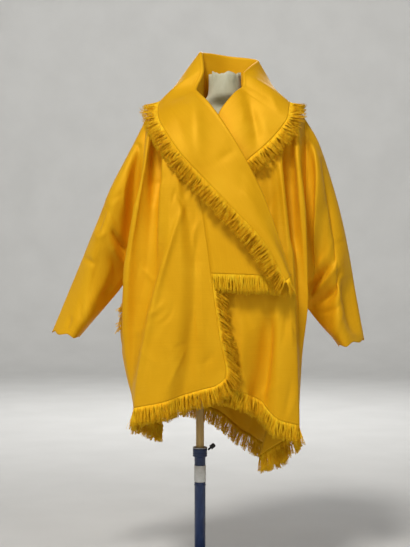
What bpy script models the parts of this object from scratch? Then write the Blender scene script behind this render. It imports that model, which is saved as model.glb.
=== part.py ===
"""A taffeta wrap coat with fringed edges, on a limbless dress form and its stand.

Every piece a maker would cut is its own object. A cloth piece is a thin wall on a smooth sheet that
runs through named fold lines, so a fold moves when its row in a table is changed.
Metres, +Z up, the coat faces -Y, and +X is the wearer's left. The origin is on the floor under the pole.
"""
import math
from collections import namedtuple

import bpy
import numpy as np

for old in list(bpy.data.objects):
    bpy.data.objects.remove(old, do_unlink=True)

# Cloth and seams
CLOTH = 0.0016
SEAM_GAP = 0.0003
SEAM_BACK_MOST = 0.006
SHOULDER_BACK = 0.0008
CORNER_BACK = 0.0020

# Rows run down a panel: those of the armhole, then those of the skirt under it
ARMHOLE_ROWS = 9
SKIRT_ROWS = 6
COLUMNS_PER_FOLD = 2

# The shoulder line, from the side of the neck to the top of the armhole
CENTRE = 0.0765
NECK_HALF = 0.0765
SHOULDER_HALF = 0.2355
NECK_HEIGHT = 1.447
SHOULDER_HEIGHT = 1.388
NAPE = np.array((CENTRE, 0.082, 1.447))

# How far down a fold line its levels lie, as shares of its length
UNDERARM_SHARE = 0.55
HIP_SHARE = 0.76
LEVEL_SHARES = (0.0, 0.06, 0.22, 0.40, UNDERARM_SHARE, HIP_SHARE, 1.0)
LEVELS_RIGHT = (1.25, 1.08, 0.92, 0.74)
LEVELS_LEFT = (1.25, 1.06, 0.85, 0.68)
YOKE_DROP = 0.014
YOKE_OUT = 0.055
YOKE_SHARE = 0.25
YOKE_NECK = 0.35
YOKE_NAPE = 0.6

# A fold line: its share of the way across the panel, then across (x) and depth (y) at the chest,
# the waist, the underarm, the hip and the hem, and the height of the hem
Fold = namedtuple("Fold", "name share across depth hem")

FRONT_RIGHT = (
    Fold("edge", 0.00, (-0.018, 0.010, 0.032, 0.057, 0.086),
         (-0.150, -0.172, -0.186, -0.198, -0.203), 0.612),
    Fold("dip", 0.16, (-0.050, -0.030, -0.012, -0.010, -0.032),
         (-0.147, -0.168, -0.180, -0.184, -0.184), 0.580),
    Fold("plane", 0.32, (-0.068, -0.058, -0.055, -0.070, -0.104),
         (-0.152, -0.180, -0.198, -0.208, -0.210), 0.557),
    Fold("ridge", 0.46, (-0.085, -0.083, -0.106, -0.156, -0.186),
         (-0.152, -0.178, -0.195, -0.188, -0.168), 0.536),
    Fold("inner", 0.58, (-0.110, -0.112, -0.128, -0.172, -0.191),
         (-0.150, -0.160, -0.158, -0.150, -0.145), 0.528),
    Fold("valley", 0.70, (-0.128, -0.145, -0.160, -0.186, -0.192),
         (-0.108, -0.120, -0.128, -0.125, -0.120), 0.520),
    Fold("roll", 0.84, (-0.156, -0.186, -0.207, -0.211, -0.190),
         (-0.122, -0.130, -0.126, -0.100, -0.090), 0.512),
)

FRONT_LEFT = (
    Fold("edge", 0.00, (0.112, 0.075, 0.036, 0.018, 0.034),
         (-0.124, -0.142, -0.152, -0.160, -0.163), 0.607),
    Fold("plane", 0.16, (0.170, 0.165, 0.140, 0.120, 0.124),
         (-0.126, -0.148, -0.166, -0.174, -0.174), 0.580),
    Fold("valley", 0.30, (0.196, 0.203, 0.190, 0.175, 0.163),
         (-0.122, -0.142, -0.160, -0.156, -0.140), 0.560),
    Fold("swell", 0.44, (0.218, 0.228, 0.228, 0.228, 0.227),
         (-0.130, -0.155, -0.176, -0.186, -0.178), 0.503),
    Fold("ridge", 0.58, (0.236, 0.256, 0.268, 0.276, 0.284),
         (-0.135, -0.160, -0.174, -0.176, -0.165), 0.485),
    Fold("crease", 0.70, (0.262, 0.272, 0.285, 0.286, 0.286),
         (-0.098, -0.118, -0.135, -0.140, -0.142), 0.475),
    Fold("roll", 0.84, (0.285, 0.303, 0.310, 0.296, 0.284),
         (-0.115, -0.132, -0.138, -0.118, -0.105), 0.462),
)

BACK = (
    Fold("roll_right", 0.08, (-0.165, -0.195, -0.222, -0.245, -0.205),
         (0.105, 0.110, 0.100, 0.095, 0.085), 0.505),
    Fold("dip_right", 0.22, (-0.085, -0.100, -0.115, -0.125, -0.125),
         (0.118, 0.130, 0.140, 0.150, 0.150), 0.505),
    Fold("swell_right", 0.36, (-0.020, -0.030, -0.040, -0.050, -0.055),
         (0.145, 0.162, 0.185, 0.205, 0.225), 0.515),
    Fold("middle", 0.50, (0.075, 0.070, 0.060, 0.050, 0.045),
         (0.140, 0.155, 0.172, 0.185, 0.200), 0.492),
    Fold("swell_left", 0.64, (0.165, 0.165, 0.160, 0.155, 0.145),
         (0.145, 0.165, 0.190, 0.210, 0.225), 0.415),
    Fold("dip_left", 0.78, (0.225, 0.235, 0.235, 0.225, 0.205),
         (0.120, 0.135, 0.145, 0.150, 0.145), 0.390),
    Fold("roll_left", 0.92, (0.305, 0.322, 0.325, 0.310, 0.265),
         (0.100, 0.110, 0.105, 0.095, 0.075), 0.390),
)

# The side seams under the armholes: at the hip and at the hem
Side = namedtuple("Side", "hip hem")
SIDE_RIGHT = Side((-0.188, 0.0, 0.74), (-0.110, -0.020, 0.467))
SIDE_LEFT = Side((0.262, 0.0, 0.68), (0.176, -0.025, 0.377))

# A sleeve's sections from the armhole to the cuff: the top and the underside as (x, z), and how far
# the section swells to the front and to the back
Section = namedtuple("Section", "share top under front back")
SLEEVE_RIGHT = (
    Section(0.00, (-0.159, 1.388), (-0.176, 0.917), 0.070, 0.070),
    Section(0.15, (-0.197, 1.310), (-0.216, 0.902), 0.062, 0.060),
    Section(0.35, (-0.263, 1.178), (-0.249, 0.863), 0.066, 0.066),
    Section(0.60, (-0.336, 1.004), (-0.294, 0.809), 0.064, 0.068),
    Section(0.80, (-0.392, 0.872), (-0.327, 0.770), 0.054, 0.058),
    Section(1.00, (-0.444, 0.746), (-0.360, 0.731), 0.045, 0.048),
)
SLEEVE_LEFT = (
    Section(0.00, (0.312, 1.388), (0.309, 0.830), 0.070, 0.070),
    Section(0.15, (0.350, 1.319), (0.327, 0.812), 0.062, 0.060),
    Section(0.35, (0.394, 1.190), (0.348, 0.785), 0.066, 0.066),
    Section(0.60, (0.438, 1.025), (0.375, 0.752), 0.064, 0.068),
    Section(0.80, (0.465, 0.884), (0.396, 0.728), 0.054, 0.058),
    Section(1.00, (0.495, 0.722), (0.414, 0.704), 0.045, 0.048),
)
SLEEVE_RINGS = (0.0, 0.05, 0.14, 0.27, 0.42, 0.58, 0.73, 0.87, 1.0)

# The collar runs from its lower right end (0) up to the right of the neck (1), round the back to the
# left of the neck (2) and down to its left end (3). The roll is where it folds over, the edge is its
# fringed border.
CollarLine = namedtuple("CollarLine", "along roll edge")
COLLAR = (
    CollarLine(0.00, (0.258, -0.216, 0.915), (0.240, -0.240, 0.900)),
    CollarLine(0.20, (0.229, -0.212, 1.000), (0.186, -0.240, 1.000)),
    CollarLine(0.45, (0.188, -0.202, 1.122), (0.092, -0.224, 1.105)),
    CollarLine(0.65, (0.138, -0.182, 1.232), (0.016, -0.200, 1.185)),
    CollarLine(0.82, (0.074, -0.146, 1.346), (-0.055, -0.176, 1.263)),
    CollarLine(0.92, (0.020, -0.104, 1.425), (-0.105, -0.132, 1.340)),
    CollarLine(0.96, (-0.006, -0.074, 1.458), (-0.118, -0.104, 1.366)),
    CollarLine(1.00, (-0.010, -0.034, 1.484), (-0.124, -0.070, 1.397)),
    CollarLine(1.12, (0.010, -0.012, 1.530), (-0.117, -0.004, 1.437)),
    CollarLine(1.25, (0.004, 0.040, 1.588), (-0.095, 0.095, 1.425)),
    CollarLine(1.50, (0.090, 0.078, 1.586), (0.075, 0.180, 1.365)),
    CollarLine(1.75, (0.174, 0.042, 1.566), (0.248, 0.098, 1.405)),
    CollarLine(1.88, (0.146, -0.010, 1.535), (0.262, 0.000, 1.428)),
    CollarLine(1.95, (0.136, -0.034, 1.508), (0.264, -0.060, 1.424)),
    CollarLine(2.03, (0.127, -0.054, 1.486), (0.256, -0.108, 1.376)),
    CollarLine(2.25, (0.106, -0.076, 1.452), (0.205, -0.135, 1.306)),
    CollarLine(2.55, (0.058, -0.096, 1.394), (0.142, -0.150, 1.250)),
    CollarLine(3.00, (0.045, -0.100, 1.360), (0.104, -0.152, 1.215)),
)
LEFT_COLLAR_ROWS = 4
ROLL_RADIUS = 0.006
ROLL_TURNS = (-90, -45, 0, 45, 90)
STAND_STEPS = 2
FALL_STEPS = 3
FALL_BELLY = 0.010

# Fringe: locks of threads that hang from a narrow strip beside the cloth's edge
FRINGE_GAP = 0.0006
FRINGE_STRIP = 0.005
FRINGE_THICK = 0.0018
LOCK_PITCH = 0.019
LOCK_SHARE = 0.62
LOCK_TIP = 0.5
# Locks differ a little: how far they sway along the edge and out of it, and how their lengths vary
LOCK_SWAY = 0.10
LOCK_SWAY_OUT = 0.04
LOCK_VARIES = 0.004
SWAY_TURN = 2.1
SWAY_OUT_TURN = 1.3
LENGTH_TURN = 3.7
HEM_FRINGE = 0.038
COLLAR_FRINGE = 0.042
HEM_DROOP = 0.45
COLLAR_DROOP = 0.12
SHOULDER_LIFT = 0.75
LIFT_FROM = 1.33
LIFT_OVER = 0.08
FRINGE_TRIM = 0.004
FRONT_FRINGE_START = 0.050
COLLAR_END_TRIM = 0.006
COLLAR_TIP_TRIM = 0.012
DOWN = np.array((0.0, 0.0, -1.0))

# The dress form: height, middle across, half width, front and back depth of each ring
Ring = namedtuple("Ring", "height across half front back")
SEAT_GAP = 0.0006
FORM_BOTTOM = 0.715
FORM_RINGS_LOW = (
    Ring(0.715, 0.012, 0.148, 0.092, 0.106),
    Ring(0.730, 0.013, 0.160, 0.100, 0.118),
    Ring(0.820, 0.021, 0.164, 0.100, 0.124),
    Ring(0.930, 0.031, 0.140, 0.090, 0.100),
    Ring(1.020, 0.039, 0.118, 0.080, 0.082),
    Ring(1.120, 0.048, 0.132, 0.094, 0.085),
    Ring(1.220, 0.057, 0.148, 0.106, 0.092),
    Ring(1.300, 0.064, 0.160, 0.092, 0.096),
    Ring(1.355, 0.070, 0.172, 0.066, 0.080),
    Ring(1.385, 0.0765, 0.176, 0.045, 0.055),
)
# On the shoulders the coat rests, so these rings lie just under its shoulder line
Shoulder = namedtuple("Shoulder", "half front back drop")
FORM_SHOULDER = (
    Shoulder(0.150, 0.018, 0.022, 0.000),
    Shoulder(0.120, 0.020, 0.024, 0.000),
    Shoulder(0.092, 0.024, 0.028, 0.009),
)
FORM_RINGS_NECK = (
    Ring(1.452, 0.0765, 0.054, 0.046, 0.050),
    Ring(1.474, 0.0755, 0.0495, 0.046, 0.049),
    Ring(1.500, 0.0750, 0.0480, 0.0455, 0.0475),
    Ring(1.518, 0.0750, 0.0470, 0.0445, 0.0465),
)
FORM_SIDES = 24

# The stand
POLE_RADIUS = 0.012
POLE_BOTTOM = 0.200
PIPE_RADIUS = 0.0165
PIPE_BORE_RADIUS = 0.0126
PIPE_TOP = 0.400
COUPLING_RADIUS = 0.0215
COUPLING_LOW = 0.370
MOUTH_RADIUS = 0.0178
MOUTH_DEPTH = 0.020
MOUTH_TAPER = 0.004
BASE_RADIUS = 0.190
BASE_THICK = 0.012
BASE_CHAMFER = 0.003
FIT_GAP = 0.0003
TAPE_LOW = 0.296
TAPE_HIGH = 0.345
TAPE_THICK = 0.0008
KNOB_START = np.array((0.0242, 0.0, 0.391))
KNOB_TILT = math.radians(40)
KNOB_SIDES = 12
# The clamp screw: how far out, and its radius there
KNOB_PROFILE = ((0.000, 0.0030), (0.010, 0.0030), (0.010, 0.0065), (0.024, 0.0065), (0.026, 0.0050))
ROUND_SIDES = 24


def unit(vectors):
    """The vectors, each one long."""
    return vectors / np.maximum(np.linalg.norm(vectors, axis=-1, keepdims=True), 1e-12)


def smooth(shares, points, at):
    """Points of a smooth curve through the given ones that never swings past them."""
    t = np.asarray(shares, float)
    p = np.asarray(points, float).reshape(len(t), -1)
    step = np.diff(t)[:, None]
    rise = np.diff(p, axis=0) / step
    slope = np.empty_like(p)
    slope[0] = rise[0]
    slope[-1] = rise[-1]
    before, after = rise[:-1], rise[1:]
    same_way = before * after > 0
    safe_before = np.where(same_way, before, 1.0)
    safe_after = np.where(same_way, after, 1.0)
    near = 2 * step[1:] + step[:-1]
    far = step[1:] + 2 * step[:-1]
    slope[1:-1] = np.where(same_way, (near + far) / (near / safe_before + far / safe_after), 0.0)
    at = np.asarray(at, float)
    i = np.clip(np.searchsorted(t, at, side="right") - 1, 0, len(t) - 2)
    h = step[i]
    s = ((at - t[i]) / h[:, 0])[:, None]
    return (
        (1 + 2 * s) * (1 - s) ** 2 * p[i]
        + s * (1 - s) ** 2 * h * slope[i]
        + s**2 * (3 - 2 * s) * p[i + 1]
        + s**2 * (s - 1) * h * slope[i + 1]
    )


def split(shares, parts):
    """The shares again, with each step between them cut into equal parts."""
    fine = [np.linspace(a, b, parts, endpoint=False) for a, b in zip(shares[:-1], shares[1:])]
    return np.append(np.concatenate(fine), shares[-1])


def row_shares():
    """The share of each row down a panel, with the underarm on a row of its own."""
    upper = np.linspace(0, UNDERARM_SHARE, ARMHOLE_ROWS + 1)
    lower = np.linspace(UNDERARM_SHARE, 1, SKIRT_ROWS + 1)
    return np.append(upper, lower[1:])


def shoulder_point(side, half):
    """A point of the shoulder line, half across from the middle, on the right (-1) or left (+1)."""
    slope = (NECK_HEIGHT - SHOULDER_HEIGHT) / (SHOULDER_HALF - NECK_HALF)
    return np.array((CENTRE + side * half, 0.0, NECK_HEIGHT - (half - NECK_HALF) * slope))


def sleeve_points(sections, share, angles):
    """Points of a sleeve's section: angle 0 is its top, 90 degrees its front and 180 its underside."""
    table = [(*s.top, *s.under, s.front, s.back) for s in sections]
    top_x, top_z, under_x, under_z, front, back = smooth([s.share for s in sections], table, [share])[0]
    along = np.cos(angles)
    out = np.sin(angles)
    x = (top_x + under_x) / 2 + (top_x - under_x) / 2 * along
    z = (top_z + under_z) / 2 + (top_z - under_z) / 2 * along
    y = np.where(out > 0, -front * out, -back * out)
    return np.stack((x, y, z), axis=1)


def side_line(sections, side, turn):
    """A panel's side edge: down the armhole (turn is 1 for the front and -1 for the back), then the seam."""
    rows = row_shares()
    angles = np.linspace(0, math.pi, ARMHOLE_ROWS + 1) * turn
    armhole = sleeve_points(sections, 0.0, angles)
    levels = (UNDERARM_SHARE, HIP_SHARE, 1.0)
    seam = smooth(levels, (armhole[-1], side.hip, side.hem), rows[ARMHOLE_ROWS + 1:])
    return np.vstack((armhole, seam))


def fold_line(fold, top, yoke, levels):
    """A fold from the shoulder or neck to the hem, a point for each row."""
    heights = (*levels, fold.hem)
    body = np.stack((fold.across, fold.depth, heights), axis=1)
    return smooth(LEVEL_SHARES, np.vstack((top, yoke, body)), row_shares())


def across_folds(lines, shares, parts):
    """A grid of rows and columns through fold lines."""
    at = split(shares, parts)
    stack = np.stack(lines)
    flat = smooth(shares, stack.reshape(len(lines), -1), at)
    return flat.reshape(len(at), -1, 3).transpose(1, 0, 2)


def front_grid(folds, side_sign, levels, sections, side, parts):
    """A front panel: columns from its front edge to its side edge."""
    lines = []
    for fold in folds:
        half = NECK_HALF + fold.share * (SHOULDER_HALF - NECK_HALF)
        top = shoulder_point(side_sign, half)
        forward = YOKE_OUT * (1 - YOKE_NECK * (fold.share == 0))
        yoke = np.array((top[0] + YOKE_SHARE * (fold.across[0] - top[0]), -forward, top[2] - YOKE_DROP))
        lines.append(fold_line(fold, top, yoke, levels))
    lines.append(side_line(sections, side, 1))
    return across_folds(lines, [f.share for f in folds] + [1.0], parts)


def back_grid(parts):
    """The back panel: columns from the right side edge to the left one."""
    middle_half = (NECK_HALF + SHOULDER_HALF) / 2
    corner = NECK_HALF * math.sqrt(0.5)
    round_back = NAPE[1] * math.sqrt(0.5)
    tops = (
        shoulder_point(-1, middle_half),
        shoulder_point(-1, NECK_HALF),
        np.array((CENTRE - corner, round_back, NECK_HEIGHT)),
        NAPE,
        np.array((CENTRE + corner, round_back, NECK_HEIGHT)),
        shoulder_point(1, NECK_HALF),
        shoulder_point(1, middle_half),
    )
    lines = [side_line(SLEEVE_RIGHT, SIDE_RIGHT, -1)]
    for fold, top in zip(BACK, tops):
        levels = np.array(LEVELS_RIGHT) + fold.share * (np.array(LEVELS_LEFT) - np.array(LEVELS_RIGHT))
        depth = top[1] + YOKE_OUT * (1 - YOKE_NAPE * top[1] / NAPE[1])
        yoke = np.array((top[0] + YOKE_SHARE * (fold.across[0] - top[0]), depth, top[2] - YOKE_DROP))
        lines.append(fold_line(fold, top, yoke, levels))
    lines.append(side_line(SLEEVE_LEFT, SIDE_LEFT, -1))
    return across_folds(lines, [0.0] + [f.share for f in BACK] + [1.0], parts)


def sleeve_grid(sections):
    """A sleeve: rings from the armhole to the cuff, with a point for each armhole row, front then back."""
    angles = np.linspace(0, 2 * math.pi, 2 * ARMHOLE_ROWS, endpoint=False)
    return np.stack([sleeve_points(sections, share, angles) for share in SLEEVE_RINGS])


def collar_section(seam, roll, edge, roll_line):
    """The collar cut across: from its seam up the stand, over the roll and down the fall to its edge."""
    inward = unit(beside(unit(seam - roll) + unit(edge - roll), roll_line))
    apart = unit(beside(beside(edge - seam, roll_line), inward))
    turns = np.radians(ROLL_TURNS)
    bend = [roll + ROLL_RADIUS * ((1 - math.cos(a)) * inward + math.sin(a) * apart) for a in turns]
    stand = [seam + (bend[0] - seam) * s for s in np.linspace(0, 1, STAND_STEPS, endpoint=False)]
    fall = []
    for s in np.linspace(0, 1, FALL_STEPS + 1)[1:]:
        fall.append(bend[-1] + (edge - bend[-1]) * s + apart * FALL_BELLY * math.sin(math.pi * s))
    return np.array(stand + bend + fall)


def collar_grid(seam, along):
    """The collar: columns along it, rows across it."""
    shares = [line.along for line in COLLAR]
    rolls = smooth(shares, [line.roll for line in COLLAR], along)
    edges = smooth(shares, [line.edge for line in COLLAR], along)
    roll_lines = unit(np.gradient(rolls, axis=0))
    sections = [collar_section(*parts) for parts in zip(seam, rolls, edges, roll_lines)]
    return np.stack(sections, axis=1)


def beside(vectors, lines):
    """What is left of vectors when their part along the lines is taken out."""
    return vectors - (vectors * lines).sum(-1, keepdims=True) * lines


def set_back(edge_a, inner_a, edge_b, inner_b):
    """Two edges that meet at a seam, each moved back until their walls are a seam's gap apart."""
    seam = unit(np.gradient(edge_a, axis=0))
    into_a = unit(beside(inner_a - edge_a, seam))
    into_b = unit(beside(inner_b - edge_b, seam))
    half = np.arccos(np.clip((into_a * into_b).sum(-1, keepdims=True), -1, 1)) / 2
    back = (SEAM_GAP / 2 + CLOTH / 2 * np.cos(half)) / np.maximum(np.sin(half), 0.1)
    back = np.minimum(back, SEAM_BACK_MOST)
    return edge_a + into_a * back, edge_b + into_b * back


def sew(panel_a, cut_a, next_a, panel_b, cut_b, next_b):
    """Parts two panels along a seam. A cut says which of a grid's points lie on it, a next those beside it."""
    moved_a, moved_b = set_back(panel_a[cut_a], panel_a[next_a], panel_b[cut_b], panel_b[next_b])
    panel_a[cut_a] = moved_a
    panel_b[cut_b] = moved_b


def material(name, colour, roughness, metallic=0.0):
    """A plain material."""
    made = bpy.data.materials.new(name)
    made.use_nodes = True
    shader = made.node_tree.nodes["Principled BSDF"]
    shader.inputs["Base Color"].default_value = (*colour, 1.0)
    shader.inputs["Roughness"].default_value = roughness
    shader.inputs["Metallic"].default_value = metallic
    return made


def add_mesh(name, points, faces, look):
    """A named object from points and faces."""
    mesh = bpy.data.meshes.new(name)
    mesh.from_pydata([tuple(map(float, p)) for p in points], [], faces)
    mesh.update()
    made = bpy.data.objects.new(name, mesh)
    made.data.materials.append(look)
    bpy.context.scene.collection.objects.link(made)
    return made


def add_cloth(name, grid, look, ring=False):
    """A wall of cloth on a grid; a ring joins its last column to its first."""
    rows, columns = grid.shape[:2]
    faces = []
    for r in range(rows - 1):
        for c in range(columns if ring else columns - 1):
            d = (c + 1) % columns
            faces.append((r * columns + c, r * columns + d, (r + 1) * columns + d, (r + 1) * columns + c))
    made = add_mesh(name, grid.reshape(-1, 3), faces, look)
    wall = made.modifiers.new("wall", "SOLIDIFY")
    wall.thickness = CLOTH
    wall.offset = 0.0
    wall.use_even_offset = True
    return made


def add_rings(name, rings, look, hollow=False):
    """A solid through rings of points; a hollow one joins its last ring to its first."""
    count = len(rings[0])
    faces = []
    pairs = len(rings) if hollow else len(rings) - 1
    for r in range(pairs):
        below = r * count
        above = (r + 1) % len(rings) * count
        for c in range(count):
            d = (c + 1) % count
            faces.append((below + c, below + d, above + d, above + c))
    if not hollow:
        faces.append(tuple(reversed(range(count))))
        faces.append(tuple(range((len(rings) - 1) * count, len(rings) * count)))
    return add_mesh(name, np.concatenate(rings), faces, look)


def circle(radius, height):
    """A ring of points round the stand's axis."""
    a = np.linspace(0, 2 * math.pi, ROUND_SIDES, endpoint=False)
    return np.stack((radius * np.cos(a), radius * np.sin(a), np.full_like(a, height)), axis=1)


def along_line(values, steps, at):
    """A polyline's points, or any vectors at its points, read at the given distances along it."""
    return np.stack([np.interp(at, steps, values[:, k]) for k in range(3)], axis=1)


def add_fringe(name, edge, inner, length, look, droop=HEM_DROOP, lift=0.0, start=FRINGE_TRIM, end=FRINGE_TRIM):
    """A strip beside the cloth's edge with locks of threads along it. Inner lies just inside the edge."""
    steps = np.append(0.0, np.cumsum(np.linalg.norm(np.diff(edge, axis=0), axis=1)))
    long = steps[-1] - start - end
    locks = max(2, round(long / LOCK_PITCH))
    pitch = long / locks
    margin = pitch * (1 - LOCK_SHARE) / 2
    cuts = [start]
    for i in range(locks):
        cuts += [start + i * pitch + margin, start + (i + 1) * pitch - margin]
    cuts = np.array(cuts + [steps[-1] - end])
    line = along_line(edge, steps, cuts)
    tangent = unit(np.gradient(line, axis=0))
    out = unit(beside(along_line(unit(edge - inner), steps, cuts), tangent))
    face = unit(np.cross(tangent, out))
    half = face * FRINGE_THICK / 2
    # Where the edge turns between two cuts, the strip is moved out past the corner that it would cut
    past = np.zeros(len(cuts))
    for at, corner in zip(steps[1:-1], edge[1:-1]):
        i = np.searchsorted(cuts, at) - 1
        if 0 <= i < len(cuts) - 1:
            share = (at - cuts[i]) / (cuts[i + 1] - cuts[i])
            bulge = float(np.dot(corner - line[i] - share * (line[i + 1] - line[i]), out[i]))
            past[i:i + 2] = np.maximum(past[i:i + 2], bulge)
    near = line + out * (FRINGE_GAP + past)[:, None]
    far = near + out * FRINGE_STRIP
    rings = np.stack((near + half, near - half, far - half, far + half), axis=1)
    points = [p for ring in rings for p in ring]
    faces = []
    for i in range(len(cuts) - 1):
        a, b = 4 * i, 4 * (i + 1)
        is_lock = i % 2 == 1
        for k in range(4):
            if is_lock and k == 2:
                continue
            m = (k + 1) % 4
            faces.append((a + m, b + m, b + k, a + k))
        if is_lock:
            sag = droop - lift * min(1.0, max(0.0, (line[i][2] - LIFT_FROM) / LIFT_OVER))
            hang = unit((out[i] + out[i + 1]) / 2 * (1 - sag) + DOWN * sag)
            sway = tangent[i] * LOCK_SWAY * math.sin(SWAY_TURN * i)
            sway_out = face[i] * LOCK_SWAY_OUT * math.sin(SWAY_OUT_TURN * i)
            hang = unit(hang + sway + sway_out)
            root = [a + 2, b + 2, b + 3, a + 3]
            corners = [points[k] for k in root]
            middle = sum(corners) / 4
            reach = length - FRINGE_STRIP + LOCK_VARIES * math.sin(LENGTH_TURN * i)
            tip = []
            for p in corners:
                tip.append(len(points))
                points.append(middle + (p - middle) * LOCK_TIP + hang * reach)
            for k in range(4):
                m = (k + 1) % 4
                faces.append((root[m], root[k], tip[k], tip[m]))
            faces.append(tuple(reversed(tip)))
    faces.append((3, 2, 1, 0))
    last = 4 * (len(cuts) - 1)
    faces.append((last, last + 1, last + 2, last + 3))
    return add_mesh(name, points, faces, look)


taffeta = material("golden taffeta", (0.72, 0.38, 0.010), 0.42)
threads = material("taffeta threads", (0.62, 0.32, 0.010), 0.55)
canvas = material("form canvas", (0.50, 0.47, 0.35), 0.85)
wood = material("pale wood", (0.28, 0.18, 0.06), 0.55)
blue_paint = material("blue paint", (0.02, 0.035, 0.09), 0.40)
white_tape = material("white tape", (0.70, 0.70, 0.68), 0.60)
black_knob = material("black plastic", (0.02, 0.02, 0.02), 0.45)
dark_plate = material("dark plate", (0.05, 0.05, 0.055), 0.50, 0.6)

# The panels, before their seams are parted
front_right = front_grid(FRONT_RIGHT, -1, LEVELS_RIGHT, SLEEVE_RIGHT, SIDE_RIGHT, COLUMNS_PER_FOLD)
front_left = front_grid(FRONT_LEFT, 1, LEVELS_LEFT, SLEEVE_LEFT, SIDE_LEFT, COLUMNS_PER_FOLD)
back = back_grid(COLUMNS_PER_FOLD)
sleeve_right = sleeve_grid(SLEEVE_RIGHT)
sleeve_left = sleeve_grid(SLEEVE_LEFT)

neck_first = 2 * COLUMNS_PER_FOLD
neck_last = 6 * COLUMNS_PER_FOLD
collar_rows_right = ARMHOLE_ROWS
seam_right = front_right[collar_rows_right:0:-1, 0]
seam_back = back[0, neck_first:neck_last + 1]
seam_left = front_left[1:LEFT_COLLAR_ROWS + 1, 0]
collar_seam = np.vstack((seam_right, seam_back, seam_left))
collar_along = np.concatenate((
    np.linspace(0, 1, collar_rows_right, endpoint=False),
    np.linspace(1, 2, neck_last - neck_first + 1),
    np.linspace(2, 3, LEFT_COLLAR_ROWS + 1)[1:],
))
collar = collar_grid(collar_seam, collar_along)

# Seams
right_rows = slice(0, ARMHOLE_ROWS + 1)
skirt_rows = slice(ARMHOLE_ROWS, None)
front_of_sleeve = list(range(0, ARMHOLE_ROWS + 1))
back_of_sleeve = [0] + list(range(2 * ARMHOLE_ROWS - 1, ARMHOLE_ROWS - 1, -1))
for panel, sleeve in ((front_right, sleeve_right), (front_left, sleeve_left)):
    sew(panel, (right_rows, -1), (right_rows, -2), sleeve, (0, front_of_sleeve), (1, front_of_sleeve))
sew(back, (right_rows, 0), (right_rows, 1), sleeve_right, (0, back_of_sleeve), (1, back_of_sleeve))
sew(back, (right_rows, -1), (right_rows, -2), sleeve_left, (0, back_of_sleeve), (1, back_of_sleeve))
sew(front_right, (skirt_rows, -1), (skirt_rows, -2), back, (skirt_rows, 0), (skirt_rows, 1))
sew(front_left, (skirt_rows, -1), (skirt_rows, -2), back, (skirt_rows, -1), (skirt_rows, -2))

right_count = len(seam_right)
back_count = len(seam_back)
right_columns = list(range(right_count + 1))
left_columns = list(range(right_count + back_count - 1, len(collar_seam)))
back_columns = list(range(right_count, right_count + back_count))
right_seam_rows = list(range(collar_rows_right, -1, -1))
left_seam_rows = list(range(0, LEFT_COLLAR_ROWS + 1))
neck_columns = list(range(neck_first, neck_last + 1))
sew(front_right, (right_seam_rows, 0), (right_seam_rows, 1), collar, (0, right_columns), (1, right_columns))
sew(front_left, (left_seam_rows, 0), (left_seam_rows, 1), collar, (0, left_columns), (1, left_columns))
sew(back, (0, neck_columns), (1, neck_columns), collar, (0, back_columns), (1, back_columns))

# The shoulder seams lie on one straight line a side, so each edge is moved back by the same step
for panel, columns in (
    (front_right, slice(0, None)),
    (front_left, slice(0, None)),
    (back, slice(0, neck_first + 1)),
    (back, slice(neck_last, None)),
):
    panel[0, columns] += unit(panel[1, columns] - panel[0, columns]) * SHOULDER_BACK
# At the side of the neck three pieces meet, so the fronts' corners stand back a little more
for panel in (front_right, front_left):
    panel[0, 0] += unit(panel[0, 1] - panel[0, 0]) * CORNER_BACK

add_cloth("front_right", front_right, taffeta)
add_cloth("front_left", front_left, taffeta)
add_cloth("back", back, taffeta)
add_cloth("sleeve_right", sleeve_right, taffeta, ring=True)
add_cloth("sleeve_left", sleeve_left, taffeta, ring=True)
add_cloth("collar", collar, taffeta)

add_fringe(
    "fringe_collar",
    collar[-1],
    collar[-2],
    COLLAR_FRINGE,
    threads,
    droop=COLLAR_DROOP,
    lift=SHOULDER_LIFT,
    start=COLLAR_TIP_TRIM,
)
add_fringe(
    "fringe_collar_end",
    collar[:STAND_STEPS + 1, 0],
    collar[:STAND_STEPS + 1, 1],
    COLLAR_FRINGE,
    threads,
    start=COLLAR_END_TRIM,
    end=COLLAR_TIP_TRIM,
)
front_edge = front_right[skirt_rows, 0]
beside_front_edge = front_right[skirt_rows, 1]
add_fringe("fringe_front_edge", front_edge, beside_front_edge, HEM_FRINGE, threads, start=FRONT_FRINGE_START)
add_fringe("fringe_hem_right", front_right[-1], front_right[-2], HEM_FRINGE, threads)
add_fringe("fringe_hem_left", front_left[-1], front_left[-2], HEM_FRINGE, threads)
add_fringe("fringe_hem_back", back[-1], back[-2], HEM_FRINGE, threads)

# The dress form
shoulder_rings = []
shoulder_slope = math.atan2(NECK_HEIGHT - SHOULDER_HEIGHT, SHOULDER_HALF - NECK_HALF)
for row in FORM_SHOULDER:
    height = shoulder_point(1, row.half)[2] - CLOTH / 2 / math.cos(shoulder_slope) - SEAT_GAP - row.drop
    shoulder_rings.append(Ring(height, CENTRE, row.half, row.front, row.back))
form_rings = []
turns = np.linspace(0, 2 * math.pi, FORM_SIDES, endpoint=False)
for ring in (*FORM_RINGS_LOW, *shoulder_rings, *FORM_RINGS_NECK):
    x = ring.across + ring.half * np.cos(turns)
    y = np.where(np.sin(turns) < 0, ring.front, ring.back) * np.sin(turns)
    form_rings.append(np.stack((x, y, np.full_like(x, ring.height)), axis=1))
add_rings("form_torso", form_rings, canvas)

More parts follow.
